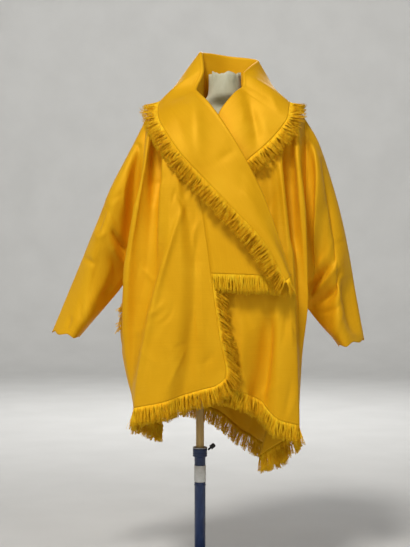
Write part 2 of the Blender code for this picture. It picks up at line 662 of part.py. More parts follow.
# The stand: a pole in a pipe on a plate
add_rings("form_pole", [circle(POLE_RADIUS, POLE_BOTTOM), circle(POLE_RADIUS, FORM_BOTTOM - FIT_GAP)], wood)
pipe_bottom = BASE_THICK + FIT_GAP
add_rings(
    "stand_pipe",
    [
        circle(PIPE_BORE_RADIUS, pipe_bottom),
        circle(PIPE_RADIUS, pipe_bottom),
        circle(PIPE_RADIUS, COUPLING_LOW),
        circle(COUPLING_RADIUS, COUPLING_LOW),
        circle(COUPLING_RADIUS, PIPE_TOP),
        circle(MOUTH_RADIUS, PIPE_TOP),
        circle(MOUTH_RADIUS, PIPE_TOP - MOUTH_DEPTH),
        circle(PIPE_BORE_RADIUS, PIPE_TOP - MOUTH_DEPTH - MOUTH_TAPER),
    ],
    blue_paint,
    hollow=True,
)
tape_inside = PIPE_RADIUS + FIT_GAP
add_rings(
    "stand_tape",
    [
        circle(tape_inside, TAPE_LOW),
        circle(tape_inside + TAPE_THICK, TAPE_LOW),
        circle(tape_inside + TAPE_THICK, TAPE_HIGH),
        circle(tape_inside, TAPE_HIGH),
    ],
    white_tape,
    hollow=True,
)
add_rings(
    "stand_base",
    [
        circle(BASE_RADIUS, 0.0),
        circle(BASE_RADIUS, BASE_THICK - BASE_CHAMFER),
        circle(BASE_RADIUS - BASE_CHAMFER, BASE_THICK),
    ],
    dark_plate,
)
knob_axis = np.array((math.cos(KNOB_TILT), 0.0, math.sin(KNOB_TILT)))
knob_up = np.array((-math.sin(KNOB_TILT), 0.0, math.cos(KNOB_TILT)))
knob_side = np.array((0.0, 1.0, 0.0))
knob_turns = np.linspace(0, 2 * math.pi, KNOB_SIDES, endpoint=False)[:, None]
knob_rings = []
for out, radius in KNOB_PROFILE:
    round_it = np.cos(knob_turns) * knob_side + np.sin(knob_turns) * knob_up
    knob_rings.append(KNOB_START + knob_axis * out + radius * round_it)
add_rings("clamp_screw", knob_rings, black_knob)
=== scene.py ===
# %% [markdown]
# # A taffeta coat on a dress form
# The real object is a wide wrap coat in crisp golden taffeta. Its collar, front edge and hem are frayed
# into a fringe, and it hangs on a limbless dress form on a pole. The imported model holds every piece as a
# plain solid. This lesson dresses those solids: each cloth piece is drawn again as a fine thin sheet
# through the same fold lines, and the threads, stitches and finishes are added.

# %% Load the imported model
import math
from collections import namedtuple

import bpy
import numpy as np
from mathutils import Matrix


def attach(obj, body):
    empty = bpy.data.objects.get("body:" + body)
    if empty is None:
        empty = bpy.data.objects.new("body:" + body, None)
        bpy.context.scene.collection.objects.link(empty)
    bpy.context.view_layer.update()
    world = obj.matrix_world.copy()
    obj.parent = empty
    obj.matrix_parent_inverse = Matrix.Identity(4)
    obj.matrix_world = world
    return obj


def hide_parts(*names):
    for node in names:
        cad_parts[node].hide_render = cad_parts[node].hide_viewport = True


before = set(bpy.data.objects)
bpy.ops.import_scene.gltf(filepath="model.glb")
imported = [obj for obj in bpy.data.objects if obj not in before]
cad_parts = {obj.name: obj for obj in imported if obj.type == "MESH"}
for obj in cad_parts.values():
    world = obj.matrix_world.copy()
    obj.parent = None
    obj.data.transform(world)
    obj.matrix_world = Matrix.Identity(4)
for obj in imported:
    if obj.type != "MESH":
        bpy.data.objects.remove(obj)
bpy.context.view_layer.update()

# %% [markdown]
# ## Camera
# The photograph was taken level with the middle of the coat, from a few metres away. A camera that looks
# straight along +Y from there gives the same perspective. The lens follows from one scale: how many
# metres a pixel covers at the pole. Colours are shown as they are, without a film look.

# %% Place the camera
IMAGE_HIGH = 547
METRES_A_PIXEL = 0.003
CAMERA_AWAY = 3.4
CAMERA_ACROSS = 0.015
CAMERA_HEIGHT = 0.92
SENSOR = 36.0
camera = bpy.data.objects.new("camera", bpy.data.cameras.new("camera"))
camera.data.sensor_width = SENSOR
camera.data.lens = SENSOR * CAMERA_AWAY / (IMAGE_HIGH * METRES_A_PIXEL)
camera.location = (CAMERA_ACROSS, -CAMERA_AWAY, CAMERA_HEIGHT)
camera.rotation_euler = (math.radians(90), 0, 0)
bpy.context.scene.collection.objects.link(camera)
bpy.context.scene.camera = camera
bpy.context.scene.view_settings.view_transform = "Standard"
print("lens", round(camera.data.lens, 2), "mm")

# %% [markdown]
# ## Finishes
# A finish is a small graph of nodes. To keep each one short, one helper starts a material and another
# adds a node with its settings. A value that is the same everywhere is set on the shader's own socket.

# %% Start a finish and add nodes
def start_finish(name, colour, roughness, **settings):
    """A material with a Principled shader, and the shader. Settings are sockets by name."""
    made = bpy.data.materials.new(name)
    made.use_nodes = True
    shader = made.node_tree.nodes["Principled BSDF"]
    shader.inputs["Base Color"].default_value = (*colour, 1.0)
    shader.inputs["Roughness"].default_value = roughness
    for socket, value in settings.items():
        shader.inputs[socket.replace("_", " ")].default_value = value
    return made, shader


def add_node(made, kind, **settings):
    """A node of the material. A setting is a socket's value if the node has that socket."""
    node = made.node_tree.nodes.new(kind)
    for key, value in settings.items():
        socket = key.replace("_", " ")
        if socket in node.inputs:
            node.inputs[socket].default_value = value
        else:
            setattr(node, key, value)
    return node


def join(made, start, end):
    """Links an output to an input."""
    made.node_tree.links.new(start, end)


print("node helpers ready")


# %% Grain, shades and relief
def streaks(made, scale, detail=2.0, source="UV"):
    """Noise that is stretched: a large scale along an axis makes it fine there."""
    place = add_node(made, "ShaderNodeTexCoord")
    stretch = add_node(made, "ShaderNodeMapping", Scale=scale)
    noise = add_node(made, "ShaderNodeTexNoise", Scale=1.0, Detail=detail)
    join(made, place.outputs[source], stretch.inputs["Vector"])
    join(made, stretch.outputs["Vector"], noise.inputs["Vector"])
    return noise.outputs["Fac"]


def shades(made, factor, steps):
    """Turns a factor into colours. Each step is a place from 0 to 1 and a colour."""
    ramp = add_node(made, "ShaderNodeValToRGB")
    stops = ramp.color_ramp.elements
    while len(stops) < len(steps):
        stops.new(0.5)
    for stop, (place, colour) in zip(stops, steps):
        stop.position = place
        stop.color = (*colour, 1.0)
    join(made, factor, ramp.inputs["Fac"])
    return ramp.outputs["Color"]


def relief(made, shader, height, distance, strength=1.0, under=None):
    """Bumps from a height; under is another bump's normal."""
    bump = add_node(made, "ShaderNodeBump", Strength=strength, Distance=distance)
    join(made, height, bump.inputs["Height"])
    if under is not None:
        join(made, under, bump.inputs["Normal"])
    join(made, bump.outputs["Normal"], shader.inputs["Normal"])
    return bump.outputs["Normal"]


def vary_roughness(made, shader, factor, low, high):
    """Lets the roughness follow a factor, from low to high."""
    spread = add_node(made, "ShaderNodeMapRange", From_Min=0.3, From_Max=0.7, To_Min=low, To_Max=high)
    join(made, factor, spread.inputs["Value"])
    join(made, spread.outputs["Result"], shader.inputs["Roughness"])


print("finish helpers ready")

# %% [markdown]
# ## Taffeta
# Taffeta is a tight plain weave with fine cross ribs, so it is smooth, crisp and a little glossy. The
# ribs are far finer than a pixel, so they are bumps, and slubs (thicker stretches of yarn) give faint
# streaks across the cloth. The sheets carry UVs in metres, so both stay at their real size. A small
# metallic share colours the gloss, as the dyed filaments of silk do.

# %% Golden taffeta
GOLD = (0.82, 0.425, 0.009)
GOLD_DEEP = (0.76, 0.375, 0.006)
GOLD_PALE = (0.86, 0.470, 0.014)
TAFFETA_ROUGH = (0.42, 0.52)
SLUB_STRETCH = (9.0, 420.0, 1.0)
SLUB_HEIGHT = 0.0004
SLUB_SHARE = 0.3
CLOUD_STRETCH = (7.0, 5.0, 1.0)
RIB_PITCH = 0.0007
RIB_HEIGHT = 0.00012
WAVE_PERIOD = math.pi / 10


def make_taffeta():
    """Golden taffeta with fine ribs and slubs."""
    made, shader = start_finish(
        "golden taffeta", GOLD, 0.46, Sheen_Weight=0.06, Sheen_Roughness=0.4,
        Sheen_Tint=(1.0, 0.70, 0.12, 1.0), Specular_IOR_Level=0.14,
        Specular_Tint=(1.0, 0.86, 0.55, 1.0), Metallic=0.10,
    )
    slubs = streaks(made, SLUB_STRETCH)
    clouds = streaks(made, CLOUD_STRETCH, detail=3.0)
    both = add_node(made, "ShaderNodeMix", data_type="FLOAT")
    both.inputs["Factor"].default_value = SLUB_SHARE
    join(made, clouds, both.inputs["A"])
    join(made, slubs, both.inputs["B"])
    mixed = both.outputs["Result"]
    colour = shades(made, mixed, ((0.30, GOLD_DEEP), (0.52, GOLD), (0.74, GOLD_PALE)))
    join(made, colour, shader.inputs["Base Color"])
    vary_roughness(made, shader, mixed, *TAFFETA_ROUGH)
    place = add_node(made, "ShaderNodeTexCoord")
    ribs = add_node(made, "ShaderNodeTexWave", Scale=WAVE_PERIOD / RIB_PITCH, bands_direction="Y")
    join(made, place.outputs["UV"], ribs.inputs["Vector"])
    slub_bump = relief(made, shader, slubs, SLUB_HEIGHT, 0.35)
    relief(made, shader, ribs.outputs["Fac"], RIB_HEIGHT, 0.5, under=slub_bump)
    return made


taffeta = make_taffeta()
print("made", taffeta.name)

# %% [markdown]
# ## Threads
# The fringe is the same yarn set free. Its colour is painted paler than the cloth's, a painted brightness
# that makes up for the shade the thin threads cast on each other. Loose yarn scatters light between its
# fibres, which makes its gloss a little duller, and each lock differs from the next.

# %% Loose threads
# Painted light: these thread colours are paler than the cloth's GOLD, a painted brightness against the shade
# the threads cast on each other.
THREAD_DEEP_BRIGHTENED = (0.90, 0.48, 0.008)
THREAD_GOLD_BRIGHTENED = (0.97, 0.57, 0.013)
THREAD_PALE_BRIGHTENED = (1.00, 0.65, 0.022)


def make_threads():
    """The taffeta's yarn, frayed, in colours painted paler than the cloth's against the threads' shade."""
    made, shader = start_finish("golden threads", THREAD_GOLD_BRIGHTENED, 0.6, Specular_IOR_Level=0.1)
    locks = streaks(made, (160.0, 160.0, 40.0), source="Object")
    colour = shades(made, locks, ((0.34, THREAD_DEEP_BRIGHTENED), (0.50, THREAD_GOLD_BRIGHTENED), (0.68, THREAD_PALE_BRIGHTENED)))
    join(made, colour, shader.inputs["Base Color"])
    return made


threads = make_threads()
print("made", threads.name)

# %% [markdown]
# ## The form's and stand's finishes
# The form is covered in off-white cotton that has greyed with use. The pole is pale wood with its grain
# along it, the pipe is painted blue, the tape is bare white, and the hidden foot is a plain dark plate.

# %% Cotton, wood, paint, tape and plastic
def make_cotton():
    """Off-white cotton cover with a weave and grey marks."""
    made, shader = start_finish("off-white cotton", (0.52, 0.49, 0.37), 0.9, Sheen_Weight=0.15)
    marks = streaks(made, (22.0, 22.0, 14.0), detail=5.0, source="Object")
    steps = ((0.30, (0.30, 0.30, 0.20)), (0.44, (0.50, 0.49, 0.34)), (0.62, (0.60, 0.59, 0.44)))
    join(made, shades(made, marks, steps), shader.inputs["Base Color"])
    weave = add_node(made, "ShaderNodeTexChecker", Scale=900.0)
    place = add_node(made, "ShaderNodeTexCoord")
    join(made, place.outputs["Object"], weave.inputs["Vector"])
    relief(made, shader, weave.outputs["Fac"], 0.0002, 0.4)
    return made


def make_grained(name, steps, roughness, stretch, depth, strength=0.5, detail=4.0, **settings):
    """A finish whose colour and height follow one grain, and the parts that it is made of."""
    made, shader = start_finish(name, steps[-1][1], roughness, **settings)
    grain = streaks(made, stretch, detail, source="Object")
    join(made, shades(made, grain, steps), shader.inputs["Base Color"])
    relief(made, shader, grain, depth, strength)
    return made, shader, grain


def make_plain(name, dark, pale, roughness, scale, depth, **settings):
    """A finish that varies between two close colours, with a fine even grain."""
    steps = ((0.34, dark), (0.66, pale))
    return make_grained(name, steps, roughness, (scale, scale, scale), depth, **settings)[0]


def make_paint():
    """Blue paint on metal, a little worn and dusty."""
    made, shader, wear = make_grained(
        "blue paint", PAINT_STEPS, 0.42, PAINT_WEAR, 0.0002, 0.3, detail=5.0, Coat_Weight=0.15
    )
    vary_roughness(made, shader, wear, *PAINT_ROUGH)
    return made


WOOD_STEPS = ((0.32, (0.42, 0.265, 0.085)), (0.52, (0.66, 0.460, 0.165)), (0.72, (0.78, 0.580, 0.250)))
WOOD_GRAIN = (140.0, 140.0, 5.0)
PAINT_STEPS = ((0.35, (0.010, 0.022, 0.074)), (0.55, (0.017, 0.038, 0.122)), (0.78, (0.042, 0.068, 0.140)))
PAINT_WEAR = (60.0, 60.0, 25.0)
PAINT_ROUGH = (0.32, 0.55)
cotton = make_cotton()
wood = make_grained("pale wood", WOOD_STEPS, 0.52, WOOD_GRAIN, 0.0003, 0.4)[0]
blue_paint = make_paint()
white_tape = make_plain("white tape", (0.66, 0.66, 0.63), (0.80, 0.80, 0.78), 0.55, 90.0, 0.0003)
rim_metal = make_plain(
    "worn rim", (0.30, 0.31, 0.33), (0.55, 0.56, 0.57), 0.38, 120.0, 0.0002, Metallic=0.6
)
black_plastic = make_plain(
    "black plastic", (0.010, 0.010, 0.011), (0.026, 0.025, 0.024), 0.45, 200.0, 0.0002
)
plate_paint = make_plain(
    "dark plate", (0.035, 0.036, 0.040), (0.060, 0.061, 0.066), 0.5, 160.0, 0.0002, Metallic=0.4
)
stand_looks = (cotton, wood, blue_paint, white_tape, rim_metal, black_plastic, plate_paint)
print("made", *(look.name for look in stand_looks))

# %% [markdown]
# ## Fold lines
# A hanging panel is easiest to draw by its folds. A fold line is a ridge or a valley that runs from the
# shoulder to the hem, given by where it lies across and in depth at a few levels. A smooth curve that
# never swings past its points joins the levels, and the same kind of curve joins fold to fold. The
# solids were made from these tables too, so the fine sheets lie where the solids are.

# %% Smooth curves
def unit(vectors):
    """The vectors, each one long."""
    return vectors / np.maximum(np.linalg.norm(vectors, axis=-1, keepdims=True), 1e-12)


def beside(vectors, lines):
    """What is left of vectors when their part along the lines is taken out."""
    return vectors - (vectors * lines).sum(-1, keepdims=True) * lines


def smooth(shares, points, at):
    """Points of a smooth curve through the given ones that never swings past them."""
    t = np.asarray(shares, float)
    p = np.asarray(points, float).reshape(len(t), -1)
    step = np.diff(t)[:, None]
    rise = np.diff(p, axis=0) / step
    slope = np.empty_like(p)
    slope[0] = rise[0]
    slope[-1] = rise[-1]
    before, after = rise[:-1], rise[1:]
    same_way = before * after > 0
    safe_before = np.where(same_way, before, 1.0)
    safe_after = np.where(same_way, after, 1.0)
    near = 2 * step[1:] + step[:-1]
    far = step[1:] + 2 * step[:-1]
    slope[1:-1] = np.where(same_way, (near + far) / (near / safe_before + far / safe_after), 0.0)
    at = np.asarray(at, float)
    i = np.clip(np.searchsorted(t, at, side="right") - 1, 0, len(t) - 2)
    h = step[i]
    s = ((at - t[i]) / h[:, 0])[:, None]
    return (
        (1 + 2 * s) * (1 - s) ** 2 * p[i]
        + s * (1 - s) ** 2 * h * slope[i]
        + s**2 * (3 - 2 * s) * p[i + 1]
        + s**2 * (s - 1) * h * slope[i + 1]
    )


def split(shares, parts):
    """The shares again, with each step between them cut into equal parts."""
    fine = [np.linspace(a, b, parts, endpoint=False) for a, b in zip(shares[:-1], shares[1:])]
    return np.append(np.concatenate(fine), shares[-1])


print("a curve through 0, 1, 0 at its middle:", smooth((0, 1, 2), (0, 1, 0), (1.0,))[0, 0])

# %% Fold tables of the panels
Fold = namedtuple("Fold", "name share across depth hem")
FRONT_RIGHT = (
    Fold("edge", 0.00, (-0.018, 0.010, 0.032, 0.057, 0.086),
         (-0.150, -0.172, -0.186, -0.198, -0.203), 0.612),
    Fold("dip", 0.16, (-0.050, -0.030, -0.012, -0.010, -0.032),
         (-0.147, -0.168, -0.180, -0.184, -0.184), 0.580),
    Fold("plane", 0.32, (-0.068, -0.058, -0.055, -0.070, -0.104),
         (-0.152, -0.180, -0.198, -0.208, -0.210), 0.557),
    Fold("ridge", 0.46, (-0.085, -0.083, -0.106, -0.156, -0.186),
         (-0.152, -0.178, -0.195, -0.188, -0.168), 0.536),
    Fold("inner", 0.58, (-0.110, -0.112, -0.128, -0.172, -0.191),
         (-0.150, -0.160, -0.158, -0.150, -0.145), 0.528),
    Fold("valley", 0.70, (-0.128, -0.145, -0.160, -0.186, -0.192),
         (-0.108, -0.120, -0.128, -0.125, -0.120), 0.520),
    Fold("roll", 0.84, (-0.156, -0.186, -0.207, -0.211, -0.190),
         (-0.122, -0.130, -0.126, -0.100, -0.090), 0.512),
)
FRONT_LEFT = (
    Fold("edge", 0.00, (0.112, 0.075, 0.036, 0.018, 0.034),
         (-0.124, -0.142, -0.152, -0.160, -0.163), 0.607),
    Fold("plane", 0.16, (0.170, 0.165, 0.140, 0.120, 0.124),
         (-0.126, -0.148, -0.166, -0.174, -0.174), 0.580),
    Fold("valley", 0.30, (0.196, 0.203, 0.190, 0.175, 0.163),
         (-0.122, -0.142, -0.160, -0.156, -0.140), 0.560),
    Fold("swell", 0.44, (0.218, 0.228, 0.228, 0.228, 0.227),
         (-0.130, -0.155, -0.176, -0.186, -0.178), 0.503),
    Fold("ridge", 0.58, (0.236, 0.256, 0.268, 0.276, 0.284),
         (-0.135, -0.160, -0.174, -0.176, -0.165), 0.485),
    Fold("crease", 0.70, (0.262, 0.272, 0.285, 0.286, 0.286),
         (-0.098, -0.118, -0.135, -0.140, -0.142), 0.475),
    Fold("roll", 0.84, (0.285, 0.303, 0.310, 0.296, 0.284),
         (-0.115, -0.132, -0.138, -0.118, -0.105), 0.462),
)
BACK = (
    Fold("roll_right", 0.08, (-0.165, -0.195, -0.222, -0.245, -0.205),
         (0.105, 0.110, 0.100, 0.095, 0.085), 0.505),
    Fold("dip_right", 0.22, (-0.085, -0.100, -0.115, -0.125, -0.125),
         (0.118, 0.130, 0.140, 0.150, 0.150), 0.505),
    Fold("swell_right", 0.36, (-0.020, -0.030, -0.040, -0.050, -0.055),
         (0.145, 0.162, 0.185, 0.205, 0.225), 0.515),
    Fold("middle", 0.50, (0.075, 0.070, 0.060, 0.050, 0.045),
         (0.140, 0.155, 0.172, 0.185, 0.200), 0.492),
    Fold("swell_left", 0.64, (0.165, 0.165, 0.160, 0.155, 0.145),
         (0.145, 0.165, 0.190, 0.210, 0.225), 0.415),
    Fold("dip_left", 0.78, (0.225, 0.235, 0.235, 0.225, 0.205),
         (0.120, 0.135, 0.145, 0.150, 0.145), 0.390),
    Fold("roll_left", 0.92, (0.305, 0.322, 0.325, 0.310, 0.265),
         (0.100, 0.110, 0.105, 0.095, 0.075), 0.390),
)
Side = namedtuple("Side", "hip hem")
SIDE_RIGHT = Side((-0.188, 0.0, 0.74), (-0.110, -0.020, 0.467))
SIDE_LEFT = Side((0.262, 0.0, 0.68), (0.176, -0.025, 0.377))
print("folds", len(FRONT_RIGHT), len(FRONT_LEFT), len(BACK))

# %% Sleeve sections and the shoulder line
Section = namedtuple("Section", "share top under front back")
SLEEVE_RIGHT = (
    Section(0.00, (-0.159, 1.388), (-0.176, 0.917), 0.070, 0.070),
    Section(0.15, (-0.197, 1.310), (-0.216, 0.902), 0.062, 0.060),
    Section(0.35, (-0.263, 1.178), (-0.249, 0.863), 0.066, 0.066),
    Section(0.60, (-0.336, 1.004), (-0.294, 0.809), 0.064, 0.068),
    Section(0.80, (-0.392, 0.872), (-0.327, 0.770), 0.054, 0.058),
    Section(1.00, (-0.444, 0.746), (-0.360, 0.731), 0.045, 0.048),
)
SLEEVE_LEFT = (
    Section(0.00, (0.312, 1.388), (0.309, 0.830), 0.070, 0.070),
    Section(0.15, (0.350, 1.319), (0.327, 0.812), 0.062, 0.060),
    Section(0.35, (0.394, 1.190), (0.348, 0.785), 0.066, 0.066),
    Section(0.60, (0.438, 1.025), (0.375, 0.752), 0.064, 0.068),
    Section(0.80, (0.465, 0.884), (0.396, 0.728), 0.054, 0.058),
    Section(1.00, (0.495, 0.722), (0.414, 0.704), 0.045, 0.048),
)
CENTRE = 0.0765
NECK_HALF = 0.0765
SHOULDER_HALF = 0.2355
NECK_HEIGHT = 1.447
SHOULDER_HEIGHT = 1.388
NAPE = np.array((CENTRE, 0.082, 1.447))


def shoulder_point(side, half):
    """A point of the shoulder line, half across from the middle, on the right (-1) or left (+1)."""
    slope = (NECK_HEIGHT - SHOULDER_HEIGHT) / (SHOULDER_HALF - NECK_HALF)
    return np.array((CENTRE + side * half, 0.0, NECK_HEIGHT - (half - NECK_HALF) * slope))


def sleeve_points(sections, share, angles):
    """Points of a sleeve's section: angle 0 is its top, 90 degrees its front and 180 its underside."""
    table = [(*s.top, *s.under, s.front, s.back) for s in sections]
    top_x, top_z, under_x, under_z, front, back = smooth([s.share for s in sections], table, [share])[0]
    along = np.cos(angles)
    out = np.sin(angles)
    x = (top_x + under_x) / 2 + (top_x - under_x) / 2 * along
    z = (top_z + under_z) / 2 + (top_z - under_z) / 2 * along
    y = np.where(out > 0, -front * out, -back * out)
    return np.stack((x, y, z), axis=1)


print("shoulder tips", shoulder_point(-1, SHOULDER_HALF), shoulder_point(1, SHOULDER_HALF))

# %% Fold lines from the shoulders to the hem
LEVEL_SHARES = (0.0, 0.06, 0.22, 0.40, 0.55, 0.76, 1.0)
UNDERARM_SHARE = 0.55
LEVELS_RIGHT = (1.25, 1.08, 0.92, 0.74)
LEVELS_LEFT = (1.25, 1.06, 0.85, 0.68)
YOKE_DROP = 0.014
YOKE_OUT = 0.055
YOKE_SHARE = 0.25
YOKE_NECK = 0.35
YOKE_NAPE = 0.6
PANEL_ROWS = np.linspace(0, 1, 171)


def side_line(sections, side, turn, rows):
    """A panel's side edge: the armhole (turn is 1 for the front, -1 for the back), then the side seam."""
    angles = np.minimum(rows / UNDERARM_SHARE, 1.0) * math.pi * turn
    line = sleeve_points(sections, 0.0, angles)
    below = rows > UNDERARM_SHARE
    underarm = sleeve_points(sections, 0.0, np.array((math.pi,)))[0]
    levels = (UNDERARM_SHARE, LEVEL_SHARES[5], 1.0)
    line[below] = smooth(levels, (underarm, side.hip, side.hem), rows[below])
    return line


def fold_line(fold, top, yoke, levels, rows):
    """A fold from the shoulder or neck to the hem, a point for each row."""
    body = np.stack((fold.across, fold.depth, (*levels, fold.hem)), axis=1)
    return smooth(LEVEL_SHARES, np.vstack((top, yoke, body)), rows)


def front_line(fold, side_sign, levels, rows):
    """A fold line of a front panel."""
    top = shoulder_point(side_sign, NECK_HALF + fold.share * (SHOULDER_HALF - NECK_HALF))
    forward = YOKE_OUT * (1 - YOKE_NECK * (fold.share == 0))
    yoke = np.array((top[0] + YOKE_SHARE * (fold.across[0] - top[0]), -forward, top[2] - YOKE_DROP))
    return fold_line(fold, top, yoke, levels, rows)


def back_tops():
    """Where the back's fold lines start: along the shoulders and round the neck."""
    middle_half = (NECK_HALF + SHOULDER_HALF) / 2
    corner = NECK_HALF * math.sqrt(0.5)
    round_back = NAPE[1] * math.sqrt(0.5)
    return (
        shoulder_point(-1, middle_half),
        shoulder_point(-1, NECK_HALF),
        np.array((CENTRE - corner, round_back, NECK_HEIGHT)),
        NAPE,
        np.array((CENTRE + corner, round_back, NECK_HEIGHT)),
        shoulder_point(1, NECK_HALF),
        shoulder_point(1, middle_half),
    )


def back_line(fold, top, rows):
    """A fold line of the back panel."""
    levels = np.array(LEVELS_RIGHT) + fold.share * (np.array(LEVELS_LEFT) - np.array(LEVELS_RIGHT))
    depth = top[1] + YOKE_OUT * (1 - YOKE_NAPE * top[1] / NAPE[1])
    yoke = np.array((top[0] + YOKE_SHARE * (fold.across[0] - top[0]), depth, top[2] - YOKE_DROP))
    return fold_line(fold, top, yoke, levels, rows)


print("the back's folds start at", len(back_tops()), "places")


# %% Fine grids of the panels
COLUMNS_A_FOLD = 15


def across_folds(lines, shares, at):
    """A grid of rows and columns through fold lines, with columns at the given shares across."""
    flat = smooth(shares, np.stack(lines).reshape(len(lines), -1), at)
    return flat.reshape(len(at), -1, 3).transpose(1, 0, 2)


def front_sheet(folds, side_sign, levels, sections, side):
    """A front panel's fine grid, from its front edge to its side edge."""
    lines = [front_line(fold, side_sign, levels, PANEL_ROWS) for fold in folds]
    lines.append(side_line(sections, side, 1, PANEL_ROWS))
    shares = [fold.share for fold in folds] + [1.0]
    return across_folds(lines, shares, split(shares, COLUMNS_A_FOLD))


def back_sheet():
    """The back panel's fine grid, from its right side edge to its left one."""
    lines = [side_line(SLEEVE_RIGHT, SIDE_RIGHT, -1, PANEL_ROWS)]
    lines += [back_line(fold, top, PANEL_ROWS) for fold, top in zip(BACK, back_tops())]
    lines.append(side_line(SLEEVE_LEFT, SIDE_LEFT, -1, PANEL_ROWS))
    shares = [0.0] + [fold.share for fold in BACK] + [1.0]
    return across_folds(lines, shares, split(shares, COLUMNS_A_FOLD))


right_front_grid = front_sheet(FRONT_RIGHT, -1, LEVELS_RIGHT, SLEEVE_RIGHT, SIDE_RIGHT)
left_front_grid = front_sheet(FRONT_LEFT, 1, LEVELS_LEFT, SLEEVE_LEFT, SIDE_LEFT)
back_grid = back_sheet()
print("grids", right_front_grid.shape, left_front_grid.shape, back_grid.shape)

# %% [markdown]
# ## Creases
# Between its large folds, taffeta keeps sharp little creases. They could be bumps in the material, but a
# shape that shows belongs in the mesh, so each is a soft ridge or trough along a line that is drawn in
# the front view. A row gives its three points as (x, z), its half width and its height out of the cloth.
# A few faint ones are scattered by a seeded generator, because no cloth lies perfectly smooth.

# %% Lift a sheet along creases
Crease = namedtuple("Crease", "start middle end width height")
CREASE_STEPS = 16
CREASE_CREST = 0.25
CREASE_END = 0.02
CREASE_FADE = 0.6
CREASE_FALL = 1.6
CREASE_POWER = 1.3
SEAM_COLUMNS = 10
SEAM_ROWS = 7


def sheet_normals(grid):
    """The direction out of the sheet at each point: right-handed from rows to columns."""
    return unit(np.cross(np.gradient(grid, axis=0), np.gradient(grid, axis=1)))


def crease_lift(points, crease):
    """How far a crease lifts each (x, z) point."""
    t = np.linspace(0, 1, CREASE_STEPS + 1)[:, None]
    start, middle, end = (np.array(p) for p in (crease.start, crease.middle, crease.end))
    pull = 2 * middle - (start + end) / 2
    line = (1 - t) ** 2 * start + 2 * t * (1 - t) * pull + t**2 * end
    piece = np.diff(line, axis=0)
    from_start = points[:, None, :] - line[None, :-1]
    share = np.clip((from_start * piece).sum(axis=2) / (piece**2).sum(axis=1), 0, 1)
    gaps = np.linalg.norm(from_start - share[..., None] * piece, axis=2)
    nearest = gaps.argmin(axis=1)
    along = (nearest + share[np.arange(len(points)), nearest]) / CREASE_STEPS
    fade = np.sin(math.pi * np.clip(along, CREASE_END, 1 - CREASE_END)) ** CREASE_FADE
    away = np.sqrt((gaps.min(axis=1) / crease.width) ** 2 + CREASE_CREST**2) - CREASE_CREST
    return crease.height * fade * np.exp(-CREASE_FALL * away**CREASE_POWER)


def add_creases(grid, outward, creases, part):
    """The grid with its creases. Part is how much of a crease each point takes."""
    normals = sheet_normals(grid) * outward
    points = grid[..., (0, 2)].reshape(-1, 2)
    lift = sum(crease_lift(points, crease) for crease in creases).reshape(grid.shape[:2])
    return grid + normals * (lift * part)[..., None]


def off_seams(grid):
    """How much of a crease a panel's points take: none along its sides and its top, so seams stay shut."""
    rows, columns = grid.shape[:2]
    from_side = np.minimum(np.arange(columns), columns - 1 - np.arange(columns)) / SEAM_COLUMNS
    from_top = np.arange(rows) / SEAM_ROWS
    return np.clip(from_side, 0, 1)[None, :] * np.clip(from_top, 0, 1)[:, None]


print("a crease runs over", CREASE_STEPS, "steps")

# %% Faint creases
FAINT_LEAN = 0.55
FAINT_REACH = (0.5, 1.4)
FAINT_BOW = 0.10
FAINT_SIZE = (0.4, 1.0)
FAINT_WIDTH = (0.006, 0.013)


def scattered(seed, count, low, high, reach=0.10, height=0.0032):
    """Faint creases at random places between two (x, z) corners, mostly upright."""
    draw = np.random.default_rng(seed)
    made = []
    for _ in range(count):
        start = np.array((draw.uniform(low[0], high[0]), draw.uniform(low[1], high[1])))
        lean = draw.normal(0, FAINT_LEAN)
        run = reach * draw.uniform(*FAINT_REACH) * np.array((math.sin(lean), -math.cos(lean)))
        bow = np.array((run[1], -run[0])) * draw.normal(0, FAINT_BOW)
        size = height * draw.uniform(*FAINT_SIZE) * draw.choice((-1, 1))
        width = draw.uniform(*FAINT_WIDTH)
        made.append(Crease(start, start + run / 2 + bow, start + run, width, size))
    return made


def crease_panel(grid, outward, creases, seed, count, low, high):
    """A panel with its own creases and a count of faint ones between two corners, all off its seams."""
    faint = scattered(seed, count, low, high)
    return add_creases(grid, outward, list(creases) + faint, off_seams(grid))


print("half widths of faint creases from", FAINT_WIDTH[0], "to", FAINT_WIDTH[1], "m")

# %% Creases of the panels
RIGHT_FRONT_CREASES = (
    Crease((-0.122, 1.330), (-0.127, 1.250), (-0.134, 1.130), 0.013, -0.026),
    Crease((-0.124, 1.300), (-0.131, 1.120), (-0.132, 0.920), 0.018, -0.014),
    Crease((-0.120, 1.000), (-0.153, 0.840), (-0.198, 0.590), 0.018, -0.005),
    Crease((0.012, 0.960), (0.004, 0.780), (-0.016, 0.560), 0.050, 0.010),
    Crease((-0.155, 1.330), (-0.184, 1.160), (-0.206, 0.900), 0.014, 0.014),
    Crease((-0.204, 0.980), (-0.208, 0.780), (-0.198, 0.560), 0.016, 0.016),
    Crease((-0.106, 1.290), (-0.112, 1.120), (-0.124, 0.950), 0.012, 0.008),
    Crease((-0.040, 1.130), (-0.120, 0.870), (-0.186, 0.550), 0.010, 0.009),
    Crease((-0.155, 0.800), (-0.125, 0.812), (-0.095, 0.845), 0.010, 0.004),
    Crease((-0.016, 0.820), (-0.030, 0.730), (-0.042, 0.600), 0.020, -0.006),
    Crease((-0.120, 0.700), (-0.140, 0.640), (-0.150, 0.580), 0.018, 0.003),
    Crease((0.050, 0.720), (0.030, 0.680), (0.000, 0.660), 0.014, -0.003),
)
